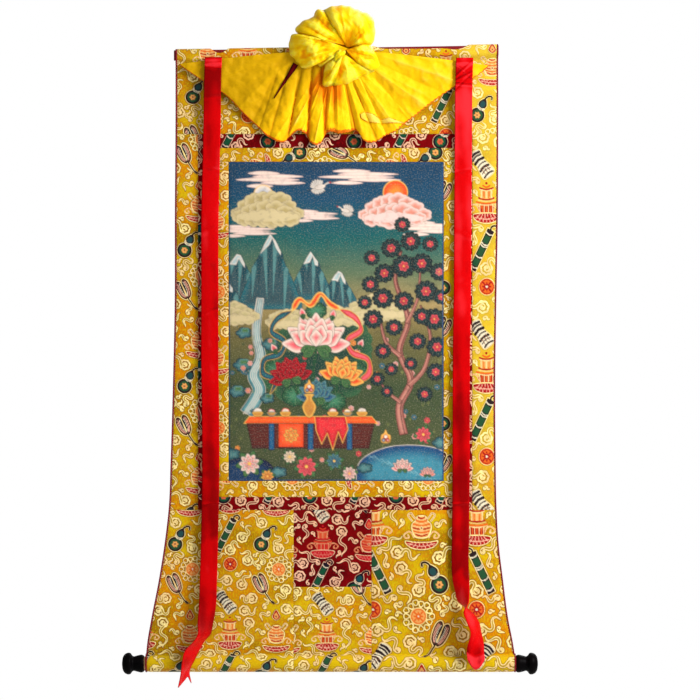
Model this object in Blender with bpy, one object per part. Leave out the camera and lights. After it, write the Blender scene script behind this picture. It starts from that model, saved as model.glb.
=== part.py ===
"""Thangka scroll painting: a pieced brocade mount that hangs from a batten, with a roller in its hem,
a silk veil gathered into a rosette and two satin ribbons.

X runs to the viewer's right, the viewer stands at -Y, +Z is up, and the origin is the middle of the
batten. Sizes below are in millimetres and the meshes are in metres.
"""

import math

import bmesh
import bpy
import numpy as np

METRE = 0.001           # millimetres to metres
SEAM_GAP = 0.3          # between pieces that are sewn or fitted together
CLOTH = 1.5             # thickness of the brocade with its backing
RIBBON_CLOTH = 1.2      # thickness of the satin ribbon
CANVAS_GRID = 26.0      # spacing of the hung cloth's rows and columns

# Top batten: a bar with round edges, a little out of level
BATTEN_LEFT, BATTEN_RIGHT = -233.0, 233.6
BATTEN_HALF_HEIGHT = 7.4
BATTEN_HALF_DEPTH = 3.5
BATTEN_SLOPE = 0.0155   # rise to the right, per millimetre
LEVEL_FROM, LEVEL_TO = -20.0, -100.0    # the cloth's rows lose that slope between these heights

# Heights of the horizontal seams
TOP_SEAM = -116.5
GOLD_TOP = -136.6
PICTURE_TOP = -156.7
PICTURE_BOTTOM = -615.5
GOLD_BOTTOM = -638.5
SKIRT_SEAM = -657.2
DOOR_BOTTOM = -767.9

# Places of the vertical seams
MAROON_LEFT, MAROON_RIGHT = -198.4, 195.6
GOLD_LEFT, GOLD_RIGHT = -176.9, 174.0
PICTURE_LEFT, PICTURE_RIGHT = -154.6, 154.6
DOOR_LEFT, DOOR_RIGHT = -61.1, 51.0

# Bottom roller and its knobs
ROLLER_HEIGHT = -878.0
ROLLER_RADIUS = 10.3
ROLLER_LEFT, ROLLER_RIGHT = -275.8, 258.4
SLEEVE_END = math.radians(434)          # the sleeve runs on round the back to here
SLEEVE_FILLET = 2.5
KNOB_SIDES = 28

PIPING_RADIUS = 0.9
PIPING_SIDES = 6

# Outer edge of the mount: height, left edge, right edge
OUTLINE = (
    (20.0, -230.6, 233.0),
    (-96.0, -230.6, 233.0),
    (-240.0, -231.6, 232.4),
    (-355.0, -231.8, 230.4),
    (-470.0, -234.2, 228.8),
    (-585.0, -237.6, 229.4),
    (-657.0, -240.6, 230.8),
    (-700.0, -245.6, 233.2),
    (-758.0, -254.6, 240.0),
    (-815.0, -265.6, 247.6),
    (-850.0, -271.4, 254.4),
    (-870.0, -273.2, 257.4),
    (-960.0, -273.2, 257.4),
)

# Knob profile: distance outward from the roller's end, radius
KNOB_PROFILE = (
    (0.0, 11.2), (0.8, 11.8), (9.0, 11.8), (12.0, 11.0), (14.5, 10.4), (17.0, 11.8),
    (19.2, 14.8), (21.6, 15.6), (25.4, 14.8), (28.8, 12.0), (30.8, 7.4), (31.5, 2.8),
)

# Veil hem, seen from the knot: degrees down from the left, reach of the hem
VEIL_POLE_X, VEIL_POLE_Z = 0.0, 4.3
VEIL_INNER = 14.0
VEIL_CLOTH = 1.5
VEIL_HEM = (
    (4.0, 226.0), (8.0, 207.0), (12.4, 194.0), (20.2, 175.0), (30.0, 164.0), (39.1, 159.5),
    (50.6, 156.0), (60.0, 151.0), (66.0, 138.0), (75.0, 137.0), (84.0, 124.0), (94.5, 114.0),
    (104.0, 126.0), (110.0, 140.0), (124.9, 144.0), (133.2, 146.0), (152.0, 156.0),
    (163.2, 178.0), (170.0, 200.0), (175.4, 215.0),
)
# Folds of the veil: degrees of the ridge, half width in degrees, height at the hem
VEIL_FOLDS = (
    (13.0, 6.0, 2.0), (30.0, 8.0, 2.5), (47.0, 4.5, 4.0), (57.0, 3.2, 6.5), (65.0, 3.2, 6.0),
    (73.0, 3.2, 8.0), (81.0, 3.0, 6.5), (88.5, 3.0, 7.5), (96.5, 3.6, 8.5), (106.0, 4.0, 7.5),
    (116.0, 4.5, 4.0), (131.0, 7.0, 4.5), (149.0, 6.0, 3.0), (165.0, 5.0, 2.0),
)

# Rosette outline, seen from its knot: degrees from the right, reach
ROSETTE_X, ROSETTE_Z = 15.0, 4.3
ROSETTE_BACK = 7.6
ROSETTE_OUTLINE = (
    (-17.0, 51.5), (4.0, 46.5), (12.5, 36.0), (20.0, 42.0), (41.0, 54.0), (50.0, 60.5),
    (63.0, 58.5), (82.0, 61.0), (105.0, 65.5), (116.0, 63.5), (128.0, 71.0), (139.0, 68.5),
    (149.0, 78.0), (158.0, 77.5), (165.0, 83.5), (176.0, 82.5), (189.0, 80.0), (197.0, 74.0),
    (204.0, 66.0), (212.0, 48.0), (222.0, 46.0), (238.0, 60.0), (257.0, 55.0), (270.0, 46.0),
    (284.0, 47.0), (305.0, 47.0), (325.0, 53.0), (343.0, 51.5),
)
# Lobes of the rosette: degrees of the middle, half width in degrees, height in front of the knot
ROSETTE_LOBES = (
    (84.0, 46.0, 30.0), (146.0, 24.0, 24.0), (186.0, 26.0, 27.0), (352.0, 30.0, 24.0),
    (304.0, 26.0, 19.0), (246.0, 20.0, 15.0),
)
ROSETTE_KNOT_HEIGHT = 20.0
ROSETTE_RIM_HEIGHT = 9.0
ROSETTE_PLEATS = 22

# Tie tape in the gap beside the fan: x, z, width
TIE_TAPE = ((-62.5, -24.0, 4.2), (-69.0, -34.0, 3.6), (-78.0, -48.0, 2.4), (-89.0, -66.0, 1.2))
TIE_TAPE_THICKNESS = 1.0

# Ribbons: height, x of the middle, distance in front of the batten's middle, turn in degrees
RIBBON_WIDTH = 24.7
RIBBON_LEFT = (
    (-7.0, -175.6, 13.2, 0), (-14.0, -176.0, 14.4, 0), (-60.0, -177.4, 12.4, 2),
    (-96.0, -177.8, 9.4, 0),
    (-150.0, -179.2, 5.4, -2), (-240.0, -181.2, 4.8, 2), (-340.0, -181.2, 5.2, -2),
    (-430.0, -181.4, 5.0, 3), (-520.0, -180.2, 4.6, -2), (-600.0, -180.0, 5.6, 2),
    (-690.0, -181.4, 6.4, -2), (-750.0, -183.0, 8.0, 0), (-795.0, -184.6, 12.5, 8),
    (-821.0, -188.4, 17.0, 34), (-838.0, -192.8, 19.6, 49), (-856.0, -202.8, 21.0, 37),
    (-873.0, -210.6, 21.6, 44), (-890.0, -216.0, 21.2, 52), (-910.0, -218.4, 20.0, 36),
)
RIBBON_RIGHT = (
    (-8.0, 184.6, 13.2, 0), (-15.0, 184.2, 14.4, 0), (-46.0, 183.4, 13.4, -2),
    (-96.0, 183.0, 9.4, 2), (-150.0, 182.6, 5.4, 0), (-240.0, 182.0, 4.8, -2),
    (-340.0, 181.4, 5.2, 2), (-430.0, 180.2, 5.0, -2), (-520.0, 179.8, 4.6, 2),
    (-600.0, 179.6, 5.6, -2), (-690.0, 178.8, 6.4, 3), (-745.0, 178.6, 9.0, 8),
    (-772.0, 180.0, 13.5, 32), (-788.0, 184.0, 18.0, 64), (-802.0, 188.4, 20.4, 96),
    (-822.0, 195.4, 22.0, 121), (-846.0, 200.6, 23.0, 143), (-864.0, 199.6, 23.4, 168),
    (-885.0, 201.6, 22.4, 176),
)
RIBBON_COLUMNS = 5
RIBBON_ROWS = (-40.0, -730.0)   # rows are wide apart between these heights and close outside them
RIBBON_WIDE, RIBBON_CLOSE = 24.0, 8.5
LEFT_END_CUT = -17.0    # the left ribbon's end is notched, the right one's pointed
RIGHT_END_CUT = 9.0

GOLD_BROCADE = (0.78, 0.52, 0.09)
MAROON_BROCADE = (0.16, 0.01, 0.012)
MAROON_CLOTH = (0.12, 0.01, 0.014)
PAINTED_CANVAS = (0.12, 0.20, 0.21)
BLACK_LACQUER = (0.012, 0.01, 0.011)
BARE_WOOD = (0.45, 0.29, 0.15)
YELLOW_SILK = (0.90, 0.56, 0.01)
RED_SATIN = (0.62, 0.008, 0.012)


def clear_scene():
    """Removes every object that is already in the scene."""
    for old in list(bpy.data.objects):
        bpy.data.objects.remove(old)


def finish(name, colour, roughness=0.6, metallic=0.0):
    """A Principled material, one for each colour name."""
    material = bpy.data.materials.get(name) or bpy.data.materials.new(name)
    material.use_nodes = True
    shader = material.node_tree.nodes["Principled BSDF"]
    shader.inputs["Base Color"].default_value = (*colour, 1.0)
    shader.inputs["Roughness"].default_value = roughness
    shader.inputs["Metallic"].default_value = metallic
    return material


def solid(name, points, faces, material):
    """A closed object from points in millimetres, with its faces turned outward."""
    mesh = bpy.data.meshes.new(name)
    mesh.from_pydata((np.asarray(points) * METRE).tolist(), [], [list(f) for f in faces])
    shell = bmesh.new()
    shell.from_mesh(mesh)
    bmesh.ops.recalc_face_normals(shell, faces=shell.faces)
    shell.to_mesh(mesh)
    shell.free()
    mesh.materials.append(material)
    mesh.shade_smooth()
    mesh.set_sharp_from_angle(angle=math.radians(40))
    made = bpy.data.objects.new(name, mesh)
    bpy.context.collection.objects.link(made)
    return made


def smooth_step(start, end, value):
    """0 before start, 1 after end, an S-curve between."""
    t = np.clip((value - start) / (end - start), 0.0, 1.0)
    return t * t * (3.0 - 2.0 * t)


def smooth_table(table, at, column=1, closed=None):
    """A table's column read at places in its first column, through a smooth curve on the rows. A closed
    table's last row repeats its first one, that far round."""
    rows = np.array(table, float)
    if rows[0, 0] > rows[-1, 0]:
        rows = rows[::-1]
    if closed:
        rows = np.vstack([rows[-3:-1] - [closed, 0], rows[:-1], rows[:3] + [closed, 0]])
    place, value = rows[:, 0], rows[:, column]
    slope = np.gradient(value, place)
    at = np.clip(at, place[0], place[-1])
    k = np.clip(np.searchsorted(place, at) - 1, 0, len(place) - 2)
    step = place[k + 1] - place[k]
    t = (at - place[k]) / step
    return (
        value[k] * (1 + 2 * t) * (1 - t) ** 2
        + value[k + 1] * t * t * (3 - 2 * t)
        + step * (slope[k] * t * (1 - t) ** 2 - slope[k + 1] * t * t * (1 - t))
    )


def thick_sheet(name, middle, thickness, material):
    """A closed sheet round a grid of middle points (rows, columns, xyz): half its thickness each way
    along the grid's own normals, and a rim."""
    along, across = np.gradient(middle, axis=0), np.gradient(middle, axis=1)
    normal = np.cross(across, along)
    normal /= np.linalg.norm(normal, axis=2, keepdims=True)
    rows, columns = middle.shape[:2]
    count = rows * columns
    points = np.vstack([
        (middle + normal * thickness / 2).reshape(-1, 3),
        (middle - normal * thickness / 2).reshape(-1, 3),
    ])
    corner = np.arange(count).reshape(rows, columns)
    a, b = corner[:-1, :-1].ravel(), corner[:-1, 1:].ravel()
    c, d = corner[1:, 1:].ravel(), corner[1:, :-1].ravel()
    front = np.stack([a, b, c, d], 1)
    back = front[:, ::-1] + count
    rim = np.concatenate([corner[0, :], corner[1:, -1], corner[-1, -2::-1], corner[-2:0:-1, 0]])
    following = np.roll(rim, -1)
    edge = np.stack([following, rim, rim + count, following + count], 1)
    return solid(name, points, np.vstack([front, back, edge]), material)


# ---- the hung mount -------------------------------------------------------------------------

SLEEVE_RADIUS = ROLLER_RADIUS + SEAM_GAP + CLOTH / 2
BATTEN_WRAP = BATTEN_HALF_DEPTH + SEAM_GAP + CLOTH / 2
BATTEN_FLAT = BATTEN_HALF_HEIGHT - BATTEN_HALF_DEPTH
PINCH = -14.0           # the cloth closes under the batten at this height
FILLET_HEIGHT = ROLLER_HEIGHT + math.sqrt((SLEEVE_RADIUS + SLEEVE_FILLET) ** 2 - SLEEVE_FILLET**2)


def arc(centre_y, centre_z, radius, start, end, steps):
    """Points of an arc in the Y-Z plane, from one angle to another."""
    angle = np.linspace(start, end, steps)
    return np.stack([centre_y + radius * np.cos(angle), centre_z + radius * np.sin(angle)], 1)


def mount_profile():
    """The mount's section from the batten's crown to the end of the sleeve, as points and how far along
    each one is."""
    crown = arc(0, BATTEN_FLAT, BATTEN_WRAP, math.pi / 2, math.pi, 5)
    fall = np.linspace(0, 1, 6)[1:]
    under = np.stack(
        [-BATTEN_WRAP * (1 - smooth_step(0, 1, fall)), -BATTEN_FLAT + fall * (PINCH + BATTEN_FLAT)], 1
    )
    turn = math.atan2(FILLET_HEIGHT - ROLLER_HEIGHT, SLEEVE_FILLET)
    fillet = arc(-SLEEVE_FILLET, FILLET_HEIGHT, SLEEVE_FILLET, 0, -turn, 4)
    rows = int((PINCH - FILLET_HEIGHT) / CANVAS_GRID)
    plane = np.linspace(PINCH, FILLET_HEIGHT, rows)[1:-1]
    straight = np.stack([np.zeros(len(plane)), plane], 1)
    sleeve = arc(0, ROLLER_HEIGHT, SLEEVE_RADIUS, math.pi - turn, SLEEVE_END, 20)[1:]
    points = np.vstack([crown, [[-BATTEN_WRAP, -BATTEN_FLAT]], under, straight, fillet, sleeve])
    along = np.concatenate([[0], np.cumsum(np.linalg.norm(np.diff(points, axis=0), axis=1))])
    return points, along


PROFILE, PROFILE_ALONG = mount_profile()
PLANE_START = float(PROFILE_ALONG[np.argmin(np.abs(PROFILE[:, 1] - PINCH))])
PROFILE_END = float(PROFILE_ALONG[-1])


def down_to(height):
    """How far along the profile the mount's plane reaches this height."""
    return PLANE_START + PINCH - height


def stations(start, end, seams=()):
    """The profile's own places between start and end, with both ends and any seams."""
    inner = [s for s in (*PROFILE_ALONG, *seams) if start + 1.2 < s < end - 1.2]
    return np.array([start, *sorted(inner), end])


def hang(x, z):
    """How far the hung cloth waves out of its plane: soft upright waves, wider in the skirt, that die
    out at the batten and the roller."""
    held = smooth_step(-20, -110, z) * smooth_step(-852, -780, z)
    upper = 1.3 * np.sin(x / 61.0 + z / 210.0 + 0.6) + 0.8 * np.sin(x / 34.0 - z / 300.0)
    skirt = 2.6 * np.sin(x / 40.0 + 0.9) * smooth_step(-560, -740, z)
    return held * (upper + skirt)


def on_mount(along, x):
    """Points of the mount's middle surface at places along the profile and across it."""
    y = np.interp(along, PROFILE_ALONG, PROFILE[:, 0])
    z = np.interp(along, PROFILE_ALONG, PROFILE[:, 1])
    y = y + hang(x, z)
    z = z + BATTEN_SLOPE * x * smooth_step(LEVEL_TO, LEVEL_FROM, z)
    return np.stack([x, y, z], -1)


def outer_left(z):
    return smooth_table(OUTLINE, z, 1)


def outer_right(z):
    return smooth_table(OUTLINE, z, 2)


def panel(name, start, end, left, right, material):
    """A piece of the mount between two places along the profile. left and right are numbers, or
    functions of height that follow the outer edge inside its piping."""
    along = stations(start, end)
    height = np.interp(along, PROFILE_ALONG, PROFILE[:, 1])
    height = np.where(along > down_to(FILLET_HEIGHT), ROLLER_HEIGHT, height)
    inside = 2 * PIPING_RADIUS + SEAM_GAP
    low = left(height) + inside if callable(left) else np.full(len(along), left + SEAM_GAP / 2)
    high = right(height) - inside if callable(right) else np.full(len(along), right - SEAM_GAP / 2)
    columns = max(2, int(round((high - low).mean() / CANVAS_GRID)) + 1)
    share = np.linspace(0, 1, columns)
    x = low[:, None] + (high - low)[:, None] * share[None, :]
    middle = on_mount(np.repeat(along[:, None], columns, 1), x)
    return thick_sheet(name, middle, CLOTH, material)


def mount_panels():
    """Every brocade piece and the picture, sewn edge to edge."""
    gold = finish("gold_brocade", GOLD_BROCADE, 0.5)
    maroon = finish("maroon_brocade", MAROON_BROCADE, 0.6)
    canvas = finish("painted_canvas", PAINTED_CANVAS, 0.7)
    half = SEAM_GAP / 2
    heights = (
        TOP_SEAM, GOLD_TOP, PICTURE_TOP, PICTURE_BOTTOM, GOLD_BOTTOM, SKIRT_SEAM, DOOR_BOTTOM,
    )
    seam = {height: down_to(height) for height in heights}

    def between(name, top, bottom, left, right, material):
        return panel(name, seam[top] + half, seam[bottom] - half, left, right, material)

    panel("top_panel", 0.0, seam[TOP_SEAM] - half, outer_left, outer_right, gold)
    between("side_panel_left", TOP_SEAM, SKIRT_SEAM, outer_left, MAROON_LEFT, gold)
    between("side_panel_right", TOP_SEAM, SKIRT_SEAM, MAROON_RIGHT, outer_right, gold)
    between("maroon_strip_top", TOP_SEAM, GOLD_TOP, MAROON_LEFT, MAROON_RIGHT, maroon)
    between("maroon_strip_bottom", GOLD_BOTTOM, SKIRT_SEAM, MAROON_LEFT, MAROON_RIGHT, maroon)
    between("maroon_strip_left", GOLD_TOP, GOLD_BOTTOM, MAROON_LEFT, GOLD_LEFT, maroon)
    between("maroon_strip_right", GOLD_TOP, GOLD_BOTTOM, GOLD_RIGHT, MAROON_RIGHT, maroon)
    between("gold_strip_top", GOLD_TOP, PICTURE_TOP, GOLD_LEFT, GOLD_RIGHT, gold)
    between("gold_strip_bottom", PICTURE_BOTTOM, GOLD_BOTTOM, GOLD_LEFT, GOLD_RIGHT, gold)
    between("gold_strip_left", PICTURE_TOP, PICTURE_BOTTOM, GOLD_LEFT, PICTURE_LEFT, gold)
    between("gold_strip_right", PICTURE_TOP, PICTURE_BOTTOM, PICTURE_RIGHT, GOLD_RIGHT, gold)
    between("picture", PICTURE_TOP, PICTURE_BOTTOM, PICTURE_LEFT, PICTURE_RIGHT, canvas)
    between("door_panel", SKIRT_SEAM, DOOR_BOTTOM, DOOR_LEFT, DOOR_RIGHT, maroon)
    panel("skirt_left", seam[SKIRT_SEAM] + half, PROFILE_END, outer_left, DOOR_LEFT, gold)
    panel("skirt_centre", seam[DOOR_BOTTOM] + half, PROFILE_END, DOOR_LEFT, DOOR_RIGHT, gold)
    panel("skirt_right", seam[SKIRT_SEAM] + half, PROFILE_END, DOOR_RIGHT, outer_right, gold)


def rings(name, centres, first, second, radius, sides, material):
    """A closed round bar: one ring of points at each centre, in the plane of its two directions."""
    angle = np.linspace(0, 2 * math.pi, sides, endpoint=False)
    cosine, sine = np.cos(angle)[None, :, None], np.sin(angle)[None, :, None]
    ring = first[:, None, :] * cosine + second[:, None, :] * sine
    points = (centres[:, None, :] + ring * radius[:, None, None]).reshape(-1, 3)
    count = len(centres)
    corner = np.arange(count * sides).reshape(count, sides)
    after = np.roll(corner, -1, axis=1)
    wall = np.stack([corner[:-1], after[:-1], after[1:], corner[1:]], -1).reshape(-1, 4)
    faces = [*wall.tolist(), corner[0, ::-1].tolist(), corner[-1].tolist()]
    return solid(name, points, faces, material)


def edge_piping(name, edge, side):
    """A thin cord of piping beside the mount's outer edge, from the batten round to the sleeve's end.
    side is 1 where the mount lies to its right and -1 where it lies to its left."""
    seams = (down_to(TOP_SEAM) + SEAM_GAP, down_to(SKIRT_SEAM) + SEAM_GAP)
    along = stations(float(PROFILE_ALONG[3]), PROFILE_END, seams)
    height = np.interp(along, PROFILE_ALONG, PROFILE[:, 1])
    height = np.where(along > down_to(FILLET_HEIGHT), ROLLER_HEIGHT, height)
    centres = on_mount(along, edge(height) + side * PIPING_RADIUS)
    run = np.gradient(centres, axis=0)
    across = np.tile([1.0, 0.0, 0.0], (len(along), 1))
    out = np.cross(run, across)
    out /= np.linalg.norm(out, axis=1, keepdims=True)
    radius = np.full(len(along), PIPING_RADIUS)
    cloth = finish("maroon_cloth", MAROON_CLOTH, 0.8)
    return rings(name, centres, across, out, radius, PIPING_SIDES, cloth)


def top_batten():
    """The batten: a long bar with round top and bottom edges and flat front and back."""
    side = 9
    upper = arc(0, BATTEN_FLAT, BATTEN_HALF_DEPTH, 0, math.pi, side)
    lower = arc(0, -BATTEN_FLAT, BATTEN_HALF_DEPTH, math.pi, 2 * math.pi, side)
    section = np.vstack([upper, lower])
    count = len(section)
    x = np.array([BATTEN_LEFT, BATTEN_RIGHT])
    points = [[xi, y, z + BATTEN_SLOPE * xi] for xi in x for y, z in section]
    wall = [[k, (k + 1) % count, (k + 1) % count + count, k + count] for k in range(count)]
    faces = [*wall, list(range(count)), list(range(count, 2 * count))]
    return solid("top_batten", points, faces, finish("maroon_cloth", MAROON_CLOTH, 0.8))


def turned(name, x, radius, sides, material):
    """A piece turned about the roller's axis: a radius at each place along X."""
    count = len(x)
    centres = np.stack([x, np.zeros(count), np.full(count, ROLLER_HEIGHT)], 1)
    forward, up = np.tile([0.0, 1.0, 0.0], (count, 1)), np.tile([0.0, 0.0, 1.0], (count, 1))
    return rings(name, centres, forward, up, np.asarray(radius, float), sides, material)


def bottom_roller():
    """The dowel in the sleeve and the turned knob on each of its ends."""
    wood = finish("bare_wood", BARE_WOOD, 0.6)
    black = finish("black_lacquer", BLACK_LACQUER, 0.25)
    turned("bottom_roller", np.array([ROLLER_LEFT, ROLLER_RIGHT]), [ROLLER_RADIUS] * 2, KNOB_SIDES, wood)
    out, radius = np.array(KNOB_PROFILE).T
    turned("knob_left", ROLLER_LEFT - SEAM_GAP - out, radius, KNOB_SIDES, black)
    turned("knob_right", ROLLER_RIGHT + SEAM_GAP + out, radius, KNOB_SIDES, black)


# ---- veil, rosette, tape and ribbons -----------------------------------------------------------

def veil_point(angle, reach):
    """The veil's middle surface at degrees down from the left and a distance from the knot. It stands
    clear of the batten, comes closer to the mount lower down, and its folds grow towards the hem."""
    turn = np.radians(angle)
    x = VEIL_POLE_X - reach * np.cos(turn)
    z = VEIL_POLE_Z - reach * np.sin(turn)
    stand = 9.2 - 2.6 * smooth_step(-20, -90, z)
    near_knot = 2.5 * smooth_step(90, 20, reach)
    grow = smooth_step(5, 150, reach)
    height = stand + near_knot
    for ridge, half_width, rise in VEIL_FOLDS:
        height = height + rise * grow * np.exp(-(((angle - ridge) / half_width) ** 2))
    return np.stack([x, -height, z], -1)


def veil_sheet(material):
    """The two swags and the fan: rays from the knot, closer together in the fan."""
    angle = np.concatenate([
        np.linspace(4.0, 40.0, 10), np.linspace(42.5, 116.0, 40), np.linspace(119.5, 175.4, 15),
    ])
    share = np.linspace(0, 1, 9)
    reach = smooth_table(VEIL_HEM, angle)
    distance = VEIL_INNER + share[:, None] * (reach - VEIL_INNER)[None, :]
    middle = veil_point(np.repeat(angle[None, :], len(share), 0), distance)
    return thick_sheet("veil", middle, VEIL_CLOTH, material)


def rosette_height(angle, share):
    """How far the rosette stands in front of its back: a pinched knot, full lobes half way out and a
    low rim, with pleats that run out from the knot."""
    lobe = np.zeros_like(angle)
    for middle, half_width, rise in ROSETTE_LOBES:
        away = (angle - middle + 180.0) % 360.0 - 180.0
        lobe = np.maximum(lobe, rise * np.clip(1 - (np.abs(away) / half_width) ** 2.4, 0, 1) ** 0.7)
    swell = np.sin(math.pi * share**0.85) ** 0.8
    outward = smooth_step(0, 1, share)
    body = ROSETTE_KNOT_HEIGHT * (1 - outward) + ROSETTE_RIM_HEIGHT * outward
    pleat = 2.2 * np.sin(np.radians(angle) * ROSETTE_PLEATS) * swell
    return body + lobe * swell + pleat


def rosette():
    """The knotted rosette as one closed relief: lobes in front, a flatter back that is a little full
    above the batten."""
    angle = np.linspace(0, 360, 72, endpoint=False)
    share = np.array([0.16, 0.32, 0.48, 0.64, 0.78, 0.9, 1.0])
    reach = smooth_table(ROSETTE_OUTLINE, np.where(angle > 343, angle - 360, angle), closed=360.0)
    x = ROSETTE_X + np.cos(np.radians(angle)) * share[:, None] * reach
    z = ROSETTE_Z + np.sin(np.radians(angle)) * share[:, None] * reach
    both = np.repeat(angle[None, :], len(share), 0)
    front = ROSETTE_BACK + rosette_height(both, np.repeat(share[:, None], len(angle), 1))
    full = 5.0 * smooth_step(14, 34, z) * (1 - share[:, None] ** 2)
    back = ROSETTE_BACK - full
    points = np.vstack([
        np.stack([x, -front, z], -1).reshape(-1, 3),
        np.stack([x, -back, z], -1).reshape(-1, 3),
        [[ROSETTE_X, -ROSETTE_BACK - ROSETTE_KNOT_HEIGHT, ROSETTE_Z]],
        [[ROSETTE_X, -ROSETTE_BACK, ROSETTE_Z]],
    ])
    count, turn = len(share), len(angle)
    corner = np.arange(count * turn).reshape(count, turn)
    after = np.roll(corner, -1, axis=1)
    wall = np.stack([corner[:-1], after[:-1], after[1:], corner[1:]], -1).reshape(-1, 4)
    total = count * turn
    rim = np.stack([corner[-1], after[-1], after[-1] + total, corner[-1] + total], 1)
    hub = np.stack([np.full(turn, 2 * total), after[0], corner[0]], 1)
    back_hub = np.stack([np.full(turn, 2 * total + 1), corner[0] + total, after[0] + total], 1)
    skins = [wall, wall[:, ::-1] + total, rim, hub, back_hub]
    faces = [face for skin in skins for face in skin.tolist()]
    return solid("rosette_form", points, faces, finish("yellow_silk", YELLOW_SILK, 0.45))


def veil():
    """The veil and its rosette, which are one cloth."""
    cloth = veil_sheet(finish("yellow_silk", YELLOW_SILK, 0.45))
    knot = rosette()
    join = cloth.modifiers.new("gather", "BOOLEAN")
    join.operation = "UNION"
    join.solver = "EXACT"
    join.object = knot
    knot.hide_render = True
    knot.display_type = "WIRE"


def tie_tape():
    """The maroon tape in the gap beside the fan: a narrow strip that lies on the veil and tapers."""
    x, z, width = np.array(TIE_TAPE).T
    run = np.gradient(np.stack([x, z], 1), axis=0)
    run /= np.linalg.norm(run, axis=1, keepdims=True)
    columns = []
    for side in (-0.5, 0.5):
        px, pz = x - run[:, 1] * width * side, z + run[:, 0] * width * side
        dx, dz = VEIL_POLE_X - px, VEIL_POLE_Z - pz
        under = veil_point(np.degrees(np.arctan2(dz, dx)), np.hypot(dx, dz))[:, 1]
        y = under - (VEIL_CLOTH + TIE_TAPE_THICKNESS) / 2 - 2 * SEAM_GAP
        columns.append(np.stack([px, y, pz], -1))
    middle = np.stack(columns, 1)
    return thick_sheet("tie_tape", middle, TIE_TAPE_THICKNESS, finish("maroon_cloth", MAROON_CLOTH, 0.8))


def ribbon(name, table, end_cut):
    """A hanging ribbon: its rows follow the table down, each turned about the ribbon's length. The end
    row is cut to a notch or a point, end_cut millimetres deep."""
    top, bottom = table[0][0], table[-1][0]
    fixed, loose = RIBBON_ROWS
    height = np.concatenate([
        np.arange(top, fixed, -RIBBON_CLOSE), np.arange(fixed, loose, -RIBBON_WIDE),
        np.linspace(loose, bottom, int((loose - bottom) / RIBBON_CLOSE)),
    ])
    down = (top - height) / (top - bottom)
    x, stand, turn = (smooth_table(table, height, column) for column in (1, 2, 3))
    share = np.linspace(-0.5, 0.5, RIBBON_COLUMNS)[None, :] * RIBBON_WIDTH
    turn = np.radians(turn)[:, None]
    curl = 0.8 * (1 - (2 * share / RIBBON_WIDTH) ** 2)
    cut = end_cut * (1 - np.abs(2 * share / RIBBON_WIDTH)) * smooth_step(0.94, 1.0, down)[:, None]
    middle = np.stack([
        x[:, None] + share * np.cos(turn) + curl * np.sin(turn),
        -stand[:, None] + share * np.sin(turn) - curl * np.cos(turn),
        height[:, None] - cut,
    ], -1)
    return thick_sheet(name, middle, RIBBON_CLOTH, finish("red_satin", RED_SATIN, 0.35))


def build():
    """The whole scroll."""
    clear_scene()
    top_batten()
    mount_panels()
    edge_piping("edge_piping_left", outer_left, 1)
    edge_piping("edge_piping_right", outer_right, -1)
    bottom_roller()
    veil()
    tie_tape()
    ribbon("ribbon_left", RIBBON_LEFT, LEFT_END_CUT)
    ribbon("ribbon_right", RIBBON_RIGHT, RIGHT_END_CUT)


build()
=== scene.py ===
# %% [markdown]
# # A thangka scroll painting, dressed step by step
# The real object is a painting on canvas, sewn into a mount of gold and maroon brocade. The mount
# hangs from a batten, closes round a wooden roller with black knobs, and a yellow silk veil is
# gathered up over it between two red satin ribbons.
#
# Each step is a cell. A markdown cell says what the piece is, ways to make it and why this way was
# taken, and the code cell under it makes the piece and prints what came out. Shapes are worked out
# with numpy as whole grids of points, and the finish is made of shader nodes.

# %% Load the frame
import math

import bpy
import numpy as np
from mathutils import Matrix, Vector


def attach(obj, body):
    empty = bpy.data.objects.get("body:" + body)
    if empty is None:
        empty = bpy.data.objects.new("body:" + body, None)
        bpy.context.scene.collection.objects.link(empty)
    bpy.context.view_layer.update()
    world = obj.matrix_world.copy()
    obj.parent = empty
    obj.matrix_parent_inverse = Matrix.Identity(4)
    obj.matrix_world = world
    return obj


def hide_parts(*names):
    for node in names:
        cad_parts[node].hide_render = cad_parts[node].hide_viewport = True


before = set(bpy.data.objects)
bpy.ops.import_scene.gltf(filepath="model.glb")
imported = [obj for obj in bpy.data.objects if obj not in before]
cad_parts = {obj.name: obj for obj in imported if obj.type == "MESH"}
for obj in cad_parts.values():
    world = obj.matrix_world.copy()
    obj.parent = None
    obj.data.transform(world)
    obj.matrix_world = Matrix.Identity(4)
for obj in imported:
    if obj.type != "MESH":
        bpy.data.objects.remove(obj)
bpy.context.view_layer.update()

# %% [markdown]
# ## Units and small helpers
# Sizes are in millimetres, because that is how cloth is measured and cut, and only the last step of
# making a mesh turns them into metres. Two curves are used all through: an S-shaped step, and a
# smooth curve through the rows of a short table. A table of a few rows says more about a shape than
# a long list of points, and the curve fills in the rest.

# %% Steps and tables
METRE = 0.001
TONE_STRENGTH = 0.8


def smooth_step(start, end, value):
    """0 before start, 1 after end and an S-curve between: 3 t squared minus 2 t cubed."""
    t = np.clip((value - start) / (end - start), 0.0, 1.0)
    return t * t * (3.0 - 2.0 * t)


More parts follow.
